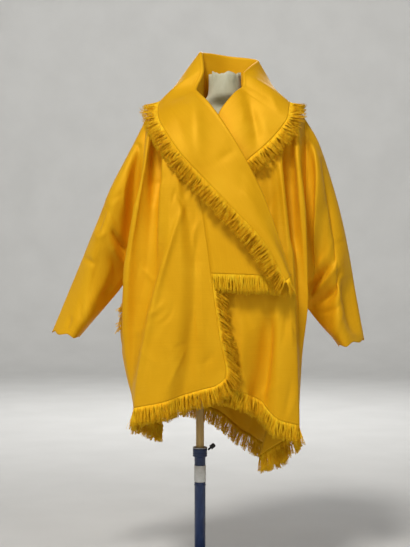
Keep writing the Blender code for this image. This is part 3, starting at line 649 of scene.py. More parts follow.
LEFT_FRONT_CREASES = (
    Crease((0.228, 1.250), (0.244, 1.110), (0.256, 0.940), 0.010, 0.008),
    Crease((0.258, 1.300), (0.262, 1.160), (0.270, 1.000), 0.014, -0.026),
    Crease((0.276, 1.310), (0.292, 1.140), (0.304, 0.900), 0.009, 0.008),
    Crease((0.198, 0.800), (0.188, 0.680), (0.174, 0.530), 0.016, -0.024),
    Crease((0.250, 0.870), (0.258, 0.790), (0.262, 0.710), 0.009, 0.006),
    Crease((0.120, 0.860), (0.136, 0.800), (0.150, 0.760), 0.020, -0.005),
    Crease((0.110, 0.800), (0.118, 0.720), (0.116, 0.640), 0.022, 0.005),
)
BACK_CREASES = (
    Crease((0.010, 1.330), (-0.045, 1.140), (-0.062, 0.900), 0.014, 0.013),
    Crease((0.145, 1.330), (0.185, 1.150), (0.196, 0.880), 0.014, 0.013),
    Crease((0.080, 1.290), (0.090, 1.050), (0.080, 0.760), 0.022, -0.016),
    Crease((-0.100, 1.280), (-0.100, 1.060), (-0.112, 0.800), 0.016, -0.014),
    Crease((0.238, 1.250), (0.246, 1.020), (0.226, 0.740), 0.016, -0.014),
    Crease((-0.165, 1.180), (-0.190, 0.980), (-0.205, 0.700), 0.012, 0.010),
    Crease((0.300, 1.150), (0.305, 0.920), (0.270, 0.640), 0.012, 0.010),
    Crease((0.010, 0.900), (-0.022, 0.740), (-0.030, 0.530), 0.014, -0.012),
    Crease((0.130, 0.860), (0.124, 0.700), (0.100, 0.510), 0.014, -0.012),
    Crease((0.020, 1.060), (0.060, 1.020), (0.110, 1.000), 0.010, 0.005),
    Crease((-0.060, 0.760), (-0.100, 0.720), (-0.140, 0.700), 0.010, 0.005),
)
right_front_grid = crease_panel(
    right_front_grid, -1, RIGHT_FRONT_CREASES, 11, 34, (-0.20, 0.62), (0.06, 1.25)
)
left_front_grid = crease_panel(left_front_grid, 1, LEFT_FRONT_CREASES, 12, 30, (0.09, 0.55), (0.30, 1.25))
back_grid = crease_panel(back_grid, -1, BACK_CREASES, 13, 60, (-0.22, 0.52), (0.31, 1.30))
CORNER_REACH = 0.050
CORNER_MOVE = np.array((-0.014, 0.0, 0.012))
from_corner = np.linalg.norm(right_front_grid - right_front_grid[-1, 0], axis=2)
right_front_grid += (np.clip(1 - from_corner / CORNER_REACH, 0, 1) ** 1.5)[..., None] * CORNER_MOVE
print("creases", len(RIGHT_FRONT_CREASES), len(LEFT_FRONT_CREASES), len(BACK_CREASES))

# %% [markdown]
# ## Sheets
# A sheet of cloth is a grid of points with a thin wall. The Solidify modifier gives it two sides and a
# rim, which a single layer would lack. UVs in metres, measured along the cloth, keep the weave straight.

# %% Measure a sheet
def measure(grid):
    """The sheet's greatest width, greatest length and area, along the cloth."""
    across = np.linalg.norm(np.diff(grid, axis=1), axis=2).sum(axis=1)
    down = np.linalg.norm(np.diff(grid, axis=0), axis=2).sum(axis=0)
    first = np.cross(grid[1:, :-1] - grid[:-1, :-1], grid[:-1, 1:] - grid[:-1, :-1])
    second = np.cross(grid[:-1, 1:] - grid[1:, 1:], grid[1:, :-1] - grid[1:, 1:])
    area = (np.linalg.norm(first, axis=2).sum() + np.linalg.norm(second, axis=2).sum()) / 2
    return across.max(), down.max(), area


def cloth_uvs(grid):
    """A UV for each point, in metres along the cloth."""
    across = np.linalg.norm(np.diff(grid, axis=1), axis=2)
    down = np.linalg.norm(np.diff(grid, axis=0), axis=2).mean(axis=1)
    u = np.concatenate((np.zeros((len(grid), 1)), np.cumsum(across, axis=1)), axis=1)
    v = np.broadcast_to(np.append(0.0, np.cumsum(down))[:, None], u.shape)
    return np.stack((u, v), axis=2)


print("the back panel's width, length and area:", *(round(value, 3) for value in measure(back_grid)))

# %% Draw a sheet
CLOTH_THICK = 0.0011


def add_piece(name, points, faces, look):
    """A named, smooth-shaded object from points and faces."""
    mesh = bpy.data.meshes.new(name)
    mesh.from_pydata(np.asarray(points, float).tolist(), [], faces)
    mesh.update()
    mesh.polygons.foreach_set("use_smooth", np.ones(len(mesh.polygons), bool))
    mesh.materials.append(look)
    made = bpy.data.objects.new(name, mesh)
    bpy.context.scene.collection.objects.link(made)
    return made


def set_uvs(piece, uvs):
    """Gives a piece a UV for each of its points."""
    mesh = piece.data
    corner = np.empty(len(mesh.loops), int)
    mesh.loops.foreach_get("vertex_index", corner)
    layer = mesh.uv_layers.new(name="metres")
    layer.data.foreach_set("uv", uvs.reshape(-1, 2)[corner].ravel())


def grid_faces(rows, columns):
    """Four-sided faces of a grid."""
    place = np.arange(rows * columns).reshape(rows, columns)
    return np.stack((place[:-1, :-1], place[:-1, 1:], place[1:, 1:], place[1:, :-1]), axis=2).reshape(-1, 4)


def add_sheet(name, node, grid, cut_width=None):
    """A sheet of taffeta that stands for a node of the model. Cut width is its widest when laid flat."""
    rows, columns = grid.shape[:2]
    made = add_piece(name, grid.reshape(-1, 3), grid_faces(rows, columns).tolist(), taffeta)
    set_uvs(made, cloth_uvs(grid))
    wall = made.modifiers.new("wall", "SOLIDIFY")
    wall.thickness = CLOTH_THICK
    wall.offset = 0.0
    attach(made, "form")
    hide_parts(node)
    width, length, area = measure(grid)
    width = cut_width or width
    print(f"{name}: {width:.3f} x {length:.3f} m, {area:.3f} square metres")


add_sheet("right_front_cloth", "front_right", right_front_grid)
add_sheet("left_front_cloth", "front_left", left_front_grid)
add_sheet("back_cloth", "back", back_grid)

# %% [markdown]
# ## Sleeves
# Each sleeve is a wide batwing that narrows to an open cuff. Its sections follow the armhole at one end
# and the cuff at the other. It starts and ends its round at the underside, where the real seam would be.
# Its upper part bulges under the top line and falls back below it, as heavy cloth does. The lower part
# turns the other way, so that its front faces out.

# %% Creases of the sleeves
RIGHT_SLEEVE_CREASES = (
    Crease((-0.180, 1.285), (-0.196, 1.120), (-0.208, 0.940), 0.018, -0.034),
    Crease((-0.200, 1.306), (-0.188, 1.300), (-0.176, 1.288), 0.007, -0.007),
    Crease((-0.276, 1.110), (-0.296, 1.075), (-0.300, 1.040), 0.013, -0.011),
    Crease((-0.312, 1.040), (-0.296, 1.028), (-0.272, 1.045), 0.009, 0.006),
    Crease((-0.258, 1.050), (-0.236, 1.010), (-0.210, 0.975), 0.008, -0.011),
    Crease((-0.270, 1.030), (-0.252, 0.985), (-0.226, 0.945), 0.010, 0.006),
    Crease((-0.349, 0.968), (-0.330, 0.958), (-0.308, 0.945), 0.009, -0.007),
    Crease((-0.293, 0.856), (-0.280, 0.868), (-0.262, 0.884), 0.008, -0.005),
    Crease((-0.290, 0.990), (-0.312, 0.910), (-0.350, 0.800), 0.020, -0.007),
    Crease((-0.262, 0.960), (-0.285, 0.895), (-0.322, 0.820), 0.014, 0.005),
    Crease((-0.385, 0.795), (-0.388, 0.775), (-0.395, 0.755), 0.008, -0.005),
    Crease((-0.240, 1.250), (-0.262, 1.170), (-0.300, 1.120), 0.012, 0.005),
)
LEFT_SLEEVE_CREASES = (
    Crease((0.322, 1.310), (0.352, 1.160), (0.326, 0.905), 0.012, 0.034),
    Crease((0.364, 1.270), (0.400, 1.110), (0.400, 0.920), 0.026, -0.040),
    Crease((0.326, 0.898), (0.346, 0.930), (0.372, 0.975), 0.009, 0.010),
    Crease((0.332, 0.870), (0.358, 0.910), (0.386, 0.950), 0.010, -0.012),
    Crease((0.322, 0.838), (0.370, 0.894), (0.412, 0.962), 0.010, 0.014),
    Crease((0.342, 0.824), (0.392, 0.868), (0.424, 0.935), 0.012, -0.018),
    Crease((0.428, 0.915), (0.452, 0.815), (0.466, 0.738), 0.024, -0.024),
    Crease((0.440, 1.040), (0.464, 0.890), (0.486, 0.740), 0.010, 0.006),
    Crease((0.355, 0.800), (0.390, 0.812), (0.420, 0.835), 0.008, -0.004),
)
print("creases", len(RIGHT_SLEEVE_CREASES), len(LEFT_SLEEVE_CREASES))

# %% Draw the sleeves
SLEEVE_STEPS = np.linspace(0, 1, 121)
SLEEVE_ROUND = np.linspace(math.pi, 3 * math.pi, 121)
SLEEVE_BACK_CREASES = 0.6
BEHIND_SHIFT = (0.0, 0.02)
SLEEVE_FAINT = 24
FAINT_ABOVE_CUFF = 0.08
SLEEVE_FACE = 1.6
SLEEVE_SEAM = 0.06
SLEEVE_SAG = 0.55
SAG_SHARES = (0.0, 0.25, 0.45, 0.80, 1.0)
SAG_WAYS = (0.0, 1.0, 0.8, -1.0, -1.0)
RIGHT_LEAN = 0.014
LEFT_LEAN = 0.020
CUFF_WAVE = 0.004
CUFF_WAVES = 5
CUFF_FROM = 0.9


def sleeve_girth(sections):
    """The sleeve's girth square to its top line at the underarm, where its flat cut is widest."""
    first, last = sections[0], sections[-1]
    top_line = unit(np.array(last.top) - np.array(first.top))
    drop = np.array(first.under) - np.array(first.top)
    tall = np.linalg.norm(beside(drop, top_line)) / 2
    deep = (first.front + first.back) / 2
    return math.pi * (3 * (tall + deep) - math.sqrt((3 * tall + deep) * (tall + 3 * deep)))


def add_sleeve(name, node, sections, creases, seed, lean):
    """A sleeve with its creases in front, the like of them behind, and a few faint ones. Gives its grid."""
    grid = np.stack([sleeve_points(sections, share, SLEEVE_ROUND) for share in SLEEVE_STEPS])
    turned = smooth(SAG_SHARES, SAG_WAYS, SLEEVE_STEPS) * np.cos(SLEEVE_ROUND)
    grid[..., 1] = grid[..., 1] * (1 + SLEEVE_SAG * turned) - lean * turned
    corners = np.array([s.top for s in sections] + [s.under for s in sections])
    low = corners.min(axis=0) + (0.0, FAINT_ABOVE_CUFF)
    faint = scattered(seed, SLEEVE_FAINT, low, corners.max(axis=0))
    forward = SLEEVE_FACE * np.sin(SLEEVE_ROUND)[None, :]
    fade = np.minimum(1.0, SLEEVE_STEPS / SLEEVE_SEAM)[:, None]
    in_front = np.clip(forward, 0, 1) * fade
    behind = np.clip(-forward, 0, 1) * fade * SLEEVE_BACK_CREASES
    outward = 1 if node == "sleeve_right" else -1
    moved = [Crease(*(np.array(p) + BEHIND_SHIFT for p in c[:3]), c.width, c.height) for c in creases]
    made = add_creases(grid, outward, list(creases) + faint, in_front)
    made = add_creases(made, outward, moved + faint, behind)
    axis = unit(np.array(sections[-1].top) - np.array(sections[0].top))
    near_cuff = np.clip((SLEEVE_STEPS - CUFF_FROM) / (1 - CUFF_FROM), 0, 1) ** 2
    wave = CUFF_WAVE * near_cuff[:, None] * np.sin(CUFF_WAVES * SLEEVE_ROUND + seed)[None, :]
    made = made + wave[..., None] * np.array((axis[0], 0.0, axis[1]))
    add_sheet(name, node, made, sleeve_girth(sections))
    return made


right_sleeve_grid = add_sleeve(
    "right_sleeve_cloth", "sleeve_right", SLEEVE_RIGHT, RIGHT_SLEEVE_CREASES, 21, RIGHT_LEAN
)
left_sleeve_grid = add_sleeve(
    "left_sleeve_cloth", "sleeve_left", SLEEVE_LEFT, LEFT_SLEEVE_CREASES, 22, LEFT_LEAN
)

# %% [markdown]
# ## Collar
# The shawl collar is one long piece. From its seam it stands up round the neck, turns over at the roll
# line and falls to a fringed edge, and on the right it runs on down as the lapel. A section across it is
# therefore a stand, a tight bend and a fall, and the table gives the roll and the edge along the collar.

# %% Collar lines
CollarLine = namedtuple("CollarLine", "along roll edge")
COLLAR = (
    CollarLine(0.00, (0.258, -0.216, 0.915), (0.240, -0.240, 0.900)),
    CollarLine(0.20, (0.229, -0.212, 1.000), (0.186, -0.240, 1.000)),
    CollarLine(0.45, (0.188, -0.202, 1.122), (0.092, -0.224, 1.105)),
    CollarLine(0.65, (0.138, -0.182, 1.232), (0.016, -0.200, 1.185)),
    CollarLine(0.82, (0.074, -0.146, 1.346), (-0.055, -0.176, 1.263)),
    CollarLine(0.92, (0.020, -0.104, 1.425), (-0.105, -0.132, 1.340)),
    CollarLine(0.96, (-0.002, -0.074, 1.450), (-0.118, -0.104, 1.366)),
    CollarLine(1.00, (-0.012, -0.040, 1.468), (-0.124, -0.070, 1.397)),
    CollarLine(1.12, (0.010, -0.012, 1.530), (-0.117, -0.004, 1.437)),
    CollarLine(1.25, (0.003, 0.040, 1.592), (-0.095, 0.095, 1.425)),
    CollarLine(1.32, (0.027, 0.058, 1.592), (-0.055, 0.128, 1.404)),
    CollarLine(1.50, (0.090, 0.078, 1.586), (0.075, 0.180, 1.365)),
    CollarLine(1.75, (0.174, 0.042, 1.566), (0.248, 0.098, 1.405)),
    CollarLine(1.88, (0.146, -0.010, 1.535), (0.262, 0.000, 1.428)),
    CollarLine(1.94, (0.128, -0.034, 1.512), (0.264, -0.055, 1.426)),
    CollarLine(2.04, (0.127, -0.054, 1.474), (0.255, -0.110, 1.374)),
    CollarLine(2.10, (0.117, -0.060, 1.465), (0.242, -0.118, 1.352)),
    CollarLine(2.25, (0.103, -0.076, 1.452), (0.205, -0.135, 1.306)),
    CollarLine(2.55, (0.058, -0.096, 1.394), (0.142, -0.150, 1.250)),
    CollarLine(3.00, (0.045, -0.100, 1.360), (0.104, -0.152, 1.215)),
)
print("collar lines", len(COLLAR))

# %% The collar's seam and section
LEFT_COLLAR_SHARE = UNDERARM_SHARE * 4 / 9
NECK_SHARES = (0.22, 0.78)
ALONG = np.linspace(0, 3, 331)
ROLL_RADIUS = 0.006
ROLL_TURNS = np.radians(np.linspace(-90, 90, 9))
STAND_STEPS = 14
FALL_STEPS = 34
FALL_BELLY = 0.010


def collar_seam():
    """The seam that joins the collar to the fronts and the back, a point for each place along it."""
    right = ALONG < 1
    left = ALONG > 2
    behind = ~right & ~left
    seam = np.empty((len(ALONG), 3))
    rows = UNDERARM_SHARE * (1 - ALONG[right])
    seam[right] = front_line(FRONT_RIGHT[0], -1, LEVELS_RIGHT, rows[::-1])[::-1]
    seam[left] = front_line(FRONT_LEFT[0], 1, LEVELS_LEFT, LEFT_COLLAR_SHARE * (ALONG[left] - 2))
    shares = [fold.share for fold in BACK]
    across = NECK_SHARES[0] + (NECK_SHARES[1] - NECK_SHARES[0]) * (ALONG[behind] - 1)
    seam[behind] = smooth(shares, back_tops(), across)
    return seam


def collar_section(seam, roll, edge, roll_line):
    """The collar cut across: from its seam up the stand, over the roll and down the fall to its edge."""
    inward = unit(beside(unit(seam - roll) + unit(edge - roll), roll_line))
    apart = unit(beside(beside(edge - seam, roll_line), inward))
    turns = ROLL_TURNS[:, None]
    bend = roll + ROLL_RADIUS * ((1 - np.cos(turns)) * inward + np.sin(turns) * apart)
    stand = seam + (bend[0] - seam) * np.linspace(0, 1, STAND_STEPS, endpoint=False)[:, None]
    share = np.linspace(0, 1, FALL_STEPS + 1)[1:, None]
    fall = bend[-1] + (edge - bend[-1]) * share + apart * FALL_BELLY * np.sin(math.pi * share)
    return np.vstack((stand, bend, fall))


print("the seam runs from", collar_seam()[0].round(3), "to", collar_seam()[-1].round(3))


# %% Draw the collar
def collar_sheet():
    """The collar's fine grid: rows across it, columns along it."""
    shares = [line.along for line in COLLAR]
    rolls = smooth(shares, [line.roll for line in COLLAR], ALONG)
    edges = smooth(shares, [line.edge for line in COLLAR], ALONG)
    roll_lines = unit(np.gradient(rolls, axis=0))
    parts = zip(collar_seam(), rolls, edges, roll_lines)
    return np.stack([collar_section(*part) for part in parts], axis=1)


collar_grid = collar_sheet()
COLLAR_CREASES = (
    Crease((-0.012, 1.450), (-0.012, 1.340), (-0.004, 1.215), 0.030, 0.012),
    Crease((-0.085, 1.400), (-0.060, 1.345), (-0.045, 1.290), 0.014, -0.003),
    Crease((0.050, 1.235), (0.085, 1.262), (0.118, 1.275), 0.014, -0.004),
    Crease((0.130, 1.460), (0.156, 1.370), (0.166, 1.270), 0.022, -0.013),
    Crease((0.205, 1.460), (0.215, 1.420), (0.235, 1.390), 0.012, 0.003),
    Crease((0.110, 1.150), (0.140, 1.130), (0.165, 1.085), 0.014, 0.003),
)
fall_part = np.zeros(collar_grid.shape[:2])
fall_start = STAND_STEPS + len(ROLL_TURNS)
fall_part[fall_start:] = np.sin(np.linspace(0, math.pi, FALL_STEPS))[:, None] ** 0.5
faint = scattered(31, 24, (-0.10, 1.00), (0.25, 1.52), reach=0.07, height=0.0012)
collar_grid = add_creases(collar_grid, -1, list(COLLAR_CREASES) + faint, fall_part)
add_sheet("collar_cloth", "collar", collar_grid)

# %% [markdown]
# ## Fringe
# The edges are frayed: cross threads were pulled out, and the rest cling together in plump, wavy locks. A
# hair system would not leave a mesh, so each thread is a thin three-sided tube. The threads of a lock start
# side by side along the edge, gather and twist round the lock's middle line, and stray a little at the
# tip. One or two thinner rows lie behind the first, so no light shows through, only dark gaps. A short
# fringe at the right side, at the height of the hip, has no solid of its own: it is drawn here alone.

# %% Tubes along paths
TUBE_TURNS = np.radians((90, 210, 330))


def along_line(values, steps, at):
    """A polyline's points, or any vectors at its points, read at the given distances along it."""
    return np.stack([np.interp(at, steps, values[:, k]) for k in range(3)], axis=-1)


def tubes(paths, radii, side, face):
    """Three-sided tubes along paths: points and faces. Side and face span each tube's section."""
    count, steps = paths.shape[:2]
    sides = len(TUBE_TURNS)
    turn = TUBE_TURNS[None, None, :, None]
    rim = np.cos(turn) * side[:, None, None, :] + np.sin(turn) * face[:, None, None, :]
    points = paths[:, :, None, :] + radii[None, :, None, None] * rim
    place = np.arange(count * steps * sides).reshape(count, steps, sides)
    after = np.roll(place, -1, axis=2)
    walls = np.stack((place[:, :-1], after[:, :-1], after[:, 1:], place[:, 1:]), axis=3).reshape(-1, 4)
    caps = np.concatenate((place[:, 0, ::-1], place[:, -1]))
    return points.reshape(-1, 3), walls.tolist() + caps.tolist()


print("a tube has", len(TUBE_TURNS), "sides")

# %% Middle lines of the locks
DOWN = np.array((0.0, 0.0, -1.0))
THREAD_STEPS = np.linspace(0, 1, 6)
LIFT_FROM = 1.33
LIFT_OVER = 0.08
LOCKS_A_GROUP = 3
GROUP_LEAN = 0.09
LOCK_LEAN = 0.07
GROUP_LIFT = 0.10
LOCK_LIFT = 0.05
GROUP_REACH = 0.05
LOCK_REACH = 0.04
LOCK_WAVES = (0.5, 1.0)
LOCK_PHASES = (0.0, 6.28)
WAVE_SIZE = 0.0026
CURL_SIZE = 0.0030
END_DROP = 0.12


def lock_lines(draw, root, tangent, out, face, length, droop, lift):
    """The middle line of each lock, wavy and of uneven length. Droop has a value for each lock."""
    locks = len(root)
    group = np.arange(locks) // LOCKS_A_GROUP

    def uneven(by_group, by_lock):
        """A random number for each lock, in part its group's and in part its own."""
        return draw.normal(0, by_group, group[-1] + 1)[group] + draw.normal(0, by_lock, locks)

    sag = droop - lift * np.clip((root[:, 2] - LIFT_FROM) / LIFT_OVER, 0.0, 1.0)
    hang = out * (1 - sag)[:, None] + DOWN * sag[:, None]
    lean = uneven(GROUP_LEAN, LOCK_LEAN)
    lift_off = uneven(GROUP_LIFT, LOCK_LIFT)
    hang = unit(hang + tangent * lean[:, None] + face * lift_off[:, None])
    reach = length * (1.0 + uneven(GROUP_REACH, LOCK_REACH))[:, None, None]
    t = THREAD_STEPS[None, :, None]
    line = root[:, None] + hang[:, None] * reach * t
    waves = draw.uniform(*LOCK_WAVES, (locks, 1, 1))
    phase = draw.uniform(*LOCK_PHASES, (locks, 1, 1))
    wave = np.sin(2 * math.pi * t * waves + phase)
    line = line + tangent[:, None] * wave * t * draw.normal(0, WAVE_SIZE, (locks, 1, 1))
    line = line + face[:, None] * t**2 * draw.normal(0, CURL_SIZE, (locks, 1, 1))
    return line + DOWN * END_DROP * length * t**2 * (lift == 0.0)


print("steps along a thread", len(THREAD_STEPS))

# %% Threads of the locks
LOCK_PITCH = 0.0056
LOCK_RADIUS = 0.0024
RING_SIZES = (0.75, 1.25)
TIP_NARROWS = 0.25
TWIST = 1.1
GATHER_BY = 0.65
STRAY = 0.0011
STRAY_MOST = 0.011
STRAY_TAIL = 2.5


def lock_threads(draw, line, tangent, face, count):
    """The threads of each lock round its middle line: side by side at the root, then twisted together."""
    locks = len(line)
    t = THREAD_STEPS[None, None, :, None]
    k = np.arange(count)[None, :, None, None]
    spread = ((k + 0.5) / count - 0.5) * LOCK_PITCH
    turn = 2 * math.pi * (k / count + TWIST * t + draw.uniform(0, 1, (locks, 1, 1, 1)))
    ring = LOCK_RADIUS * draw.uniform(*RING_SIZES, (locks, count, 1, 1)) * (1 - TIP_NARROWS * t)
    gather = np.clip(t / GATHER_BY, 0, 1) ** 1.5
    stray = STRAY * draw.standard_t(STRAY_TAIL, (2, locks, count, 1, 1))
    stray = np.clip(stray, -STRAY_MOST, STRAY_MOST) * t**2
    across = spread * (1 - gather) + ring * gather * np.cos(turn) + stray[0]
    away = ring * gather * np.sin(turn) + stray[1]
    paths = line[:, None] + tangent[:, None, None] * across + face[:, None, None] * away
    return paths.reshape(locks * count, len(THREAD_STEPS), 3)


print("locks a metre", round(1 / LOCK_PITCH))

# %% Draw a fringe
THREAD_RADIUS = 0.00072
THREAD_TAPER = 0.45
LOCK_JITTER = 0.2
TIP_REACH = 0.09
HEM_DROOP = 0.45
BEHIND_SET = 0.0024
Layer = namedtuple("Layer", "threads shift behind")
HEM_LAYERS = (Layer(8, 0.5, 0.0), Layer(6, 1.0, BEHIND_SET), Layer(6, 0.2, 2 * BEHIND_SET))


def add_fringe(name, node, edge, inner, length, seed, droop=HEM_DROOP, lift=0.0, start=0.0, end=0.0,
               tip_sag=0.0, layers=HEM_LAYERS):
    """Threads along an edge of cloth. Inner lies just inside the edge, so it says which way is out."""
    draw = np.random.default_rng(seed)
    steps = np.append(0.0, np.cumsum(np.linalg.norm(np.diff(edge, axis=0), axis=1)))
    locks = int((steps[-1] - start - end) / LOCK_PITCH)
    inside = 1 if edge[:, 1].mean() < 0 else -1
    paths, sides, faces_out = [], [], []
    for count, shift, behind in layers:
        jitter = draw.uniform(-LOCK_JITTER, LOCK_JITTER, locks)
        at = np.clip(start + (np.arange(locks) + shift + jitter) * LOCK_PITCH, 0.0, steps[-1])
        root = along_line(edge, steps, at)
        tangent = unit(along_line(np.gradient(edge, axis=0), steps, at))
        out = unit(beside(along_line(unit(edge - inner), steps, at), tangent))
        face = unit(np.cross(tangent, out))
        sag = droop + tip_sag * np.clip(1 - at / TIP_REACH, 0, 1)
        line = lock_lines(draw, root, tangent, out, face, length, sag, lift)
        line[:, 1:] += np.array((0.0, behind * inside, 0.0))
        paths.append(lock_threads(draw, line, tangent, face, count))
        sides.append(np.repeat(tangent, count, axis=0))
        faces_out.append(np.repeat(face, count, axis=0))
    radii = THREAD_RADIUS * (1.0 - THREAD_TAPER * THREAD_STEPS)
    points, faces = tubes(np.concatenate(paths), radii, np.concatenate(sides), np.concatenate(faces_out))
    made = add_piece(name, points, faces, threads)
    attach(made, "form")
    if node:
        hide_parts(node)
    print(f"{name}: {len(layers) * locks} locks along {steps[-1]:.3f} m, {len(faces)} faces")


print("threads in the rows of a hem's lock", [row.threads for row in HEM_LAYERS])

# %% Fringe of the collar
COLLAR_FRINGE = 0.048
COLLAR_DROOP = 0.12
COLLAR_LAYERS = HEM_LAYERS[:2]
SHOULDER_LIFT = 0.75
TIP_SAG = 0.7
END_OVERHANG = 0.007
tip_edge = np.vstack((collar_grid[fall_start:-1, 0], collar_grid[-1]))
tip_inner = np.vstack((collar_grid[fall_start:-1, 4], collar_grid[-3]))
add_fringe(
    "collar_fringe_threads", "fringe_collar", tip_edge, tip_inner, COLLAR_FRINGE, 41,
    COLLAR_DROOP, SHOULDER_LIFT, tip_sag=TIP_SAG, layers=COLLAR_LAYERS,
)
end_edge = collar_grid[:STAND_STEPS + 1, 0]
end_inner = collar_grid[:STAND_STEPS + 1, 3]
before_seam = (end_edge[0] - end_edge[1]) * END_OVERHANG / np.linalg.norm(end_edge[0] - end_edge[1])
end_edge = np.vstack((end_edge[0] + before_seam, end_edge))
end_inner = np.vstack((end_inner[0] + before_seam, end_inner))
add_fringe("collar_end_threads", "fringe_collar_end", end_edge, end_inner, COLLAR_FRINGE, 42, end=0.004)

# %% Fringe of the front edge, the hem and the right side
HEM_FRINGE = 0.046
SLIT_FRINGE = 0.034
SLIT_TOP = 0.860
SLIT_LOW = 0.765
SLIT_OUT = np.array((-0.9, 0.0, -0.3))
SLIT_COLUMN = 97
under_rows = PANEL_ROWS >= UNDERARM_SHARE
free_edge = right_front_grid[under_rows].transpose(1, 0, 2)
add_fringe(
    "front_edge_threads", "fringe_front_edge", free_edge[0], free_edge[3], HEM_FRINGE, 43, start=0.025
)
HEMS = (
    ("right_hem_threads", "fringe_hem_right", right_front_grid, 44),
    ("left_hem_threads", "fringe_hem_left", left_front_grid, 45),
    ("back_hem_threads", "fringe_hem_back", back_grid, 46),
)
for name, node, grid, seed in HEMS:
    add_fringe(name, node, grid[-1], grid[-3], HEM_FRINGE, seed)
slit_line = right_front_grid[:, SLIT_COLUMN]
slit_edge = slit_line[(slit_line[:, 2] < SLIT_TOP) & (slit_line[:, 2] > SLIT_LOW)]
add_fringe("side_slit_threads", None, slit_edge, slit_edge - SLIT_OUT, SLIT_FRINGE, 47)

# %% [markdown]
# ## Stitches
# A row of machine stitches holds the weave just above the fringe, and another holds each cuff's hem. They
# are too fine to see from afar, but their line shows. Each stitch is a short arch of thread whose ends
# sink into the cloth, laid along a line that is a fixed way in from the edge.

# %% Sew rows of stitches
STITCH_INSET = 0.007
CUFF_HEM = 0.018
STITCH_PITCH = 0.0036
STITCH_LONG = 0.0027
STITCH_RADIUS = 0.00032
STITCH_ARCH = np.array((-0.0002, 0.0003, -0.0002))


def inset_line(grid, inset, outward):
    """A line inside the grid's first row, on the cloth's outer side, and the directions out of the cloth."""
    steps = np.linalg.norm(np.diff(grid, axis=0), axis=2)
    way = np.concatenate((np.zeros((1, grid.shape[1])), np.cumsum(steps, axis=0)))
    line = [along_line(grid[:, c], way[:, c], inset) for c in range(grid.shape[1])]
    near = int(np.argmin(np.abs(way.mean(axis=1) - inset)))
    normals = sheet_normals(grid)[near] * outward
    return np.array(line) + normals * CLOTH_THICK / 2, normals


def add_stitches(name, rows):
    """Rows of stitches in one piece. A row is a grid with its edge first, an inset and its outward side."""
    paths, sides, faces_out = [], [], []
    for grid, inset, outward in rows:
        line, normals = inset_line(grid, inset, outward)
        steps = np.append(0.0, np.cumsum(np.linalg.norm(np.diff(line, axis=0), axis=1)))
        starts = np.arange(STITCH_PITCH, steps[-1] - STITCH_LONG, STITCH_PITCH)
        out = unit(along_line(normals, steps, starts))
        marks = starts[:, None] + STITCH_LONG * np.array((0.0, 0.5, 1.0))
        path = along_line(line, steps, marks) + out[:, None] * STITCH_ARCH[None, :, None]
        paths.append(path)
        sides.append(unit(np.cross(out, path[:, 2] - path[:, 0])))
        faces_out.append(out)
    radii = np.full(3, STITCH_RADIUS)
    points, faces = tubes(np.concatenate(paths), radii, np.concatenate(sides), np.concatenate(faces_out))
    made = add_piece(name, points, faces, threads)
    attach(made, "form")
    print(f"{name}: {sum(len(path) for path in paths)} stitches")


add_stitches("edge_stitches", [
    (collar_grid[::-1], STITCH_INSET, 1),
    (right_front_grid[::-1], STITCH_INSET, 1),
    (left_front_grid[::-1], STITCH_INSET, -1),
    (back_grid[::-1], STITCH_INSET, 1),
    (free_edge, STITCH_INSET, 1),
    (right_sleeve_grid[::-1], CUFF_HEM, -1),
    (left_sleeve_grid[::-1], CUFF_HEM, 1),
])

# %% [markdown]
# ## Round pieces
# The form, pole, pipe and plate are all rings of points stacked up, so one helper draws them. The form is
# padded canvas that follows a general figure. Its cover is gathered at the top of the neck, which shows.

# %% Draw stacked rings
def ring_faces(count, around, hollow=False):
    """Faces between stacked rings of points; a hollow piece also joins its last ring to its first."""
    place = np.arange(count * around).reshape(count, around)
    if hollow:
        place = np.vstack((place, place[:1]))
    after = np.roll(place, -1, axis=1)
    return np.stack((place[:-1], after[:-1], after[1:], place[1:]), axis=2).reshape(-1, 4).tolist()


def add_rings(name, rings, look, body, nodes, hollow=False):
    """A closed piece through rings of points; a hollow one joins its last ring to its first."""
    rings = np.asarray(rings)
    count, around = rings.shape[:2]
    faces = ring_faces(count, around, hollow)
    if not hollow:
        first = list(range(around))
        last = list(range((count - 1) * around, count * around))
        faces += [first[::-1], last]
    made = add_piece(name, rings.reshape(-1, 3), faces, look)
    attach(made, body)
    if nodes:
        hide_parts(*nodes)
    print(f"{name}: {len(faces)} faces")


print("ring helpers ready")

# %% The covered form
Ring = namedtuple("Ring", "height across half front back")
FORM_RINGS = (
    Ring(0.715, 0.012, 0.148, 0.092, 0.106),
    Ring(0.730, 0.013, 0.160, 0.100, 0.118),
    Ring(0.820, 0.021, 0.164, 0.100, 0.124),
    Ring(0.930, 0.031, 0.140, 0.090, 0.100),
    Ring(1.020, 0.039, 0.118, 0.080, 0.082),
    Ring(1.120, 0.048, 0.132, 0.094, 0.085),
    Ring(1.220, 0.057, 0.148, 0.106, 0.092),
    Ring(1.300, 0.064, 0.160, 0.092, 0.096),
    Ring(1.355, 0.070, 0.172, 0.066, 0.080),
    Ring(1.385, 0.0765, 0.176, 0.045, 0.055),
    Ring(1.416, 0.0765, 0.150, 0.018, 0.022),
    Ring(1.427, 0.0765, 0.120, 0.020, 0.024),
    Ring(1.432, 0.0765, 0.080, 0.026, 0.030),
    Ring(1.452, 0.0765, 0.054, 0.046, 0.050),
    Ring(1.474, 0.0755, 0.0495, 0.046, 0.049),
    Ring(1.500, 0.0750, 0.0480, 0.0455, 0.0475),
    Ring(1.516, 0.0750, 0.0470, 0.0445, 0.0465),
)
FORM_SIDES = 144
FORM_STEPS = 96
GATHERS = 17
GATHER_SWELL = 0.055
GATHER_FROM = 1.486
RIPPLE_SKEW = 0.8
RIPPLE_MEAN = 0.6
RIPPLE_SWING = 0.4
RIPPLE_RISE = 0.25
RUFFLE_HEIGHT = 0.008
RUFFLE_MIDDLE = 0.5
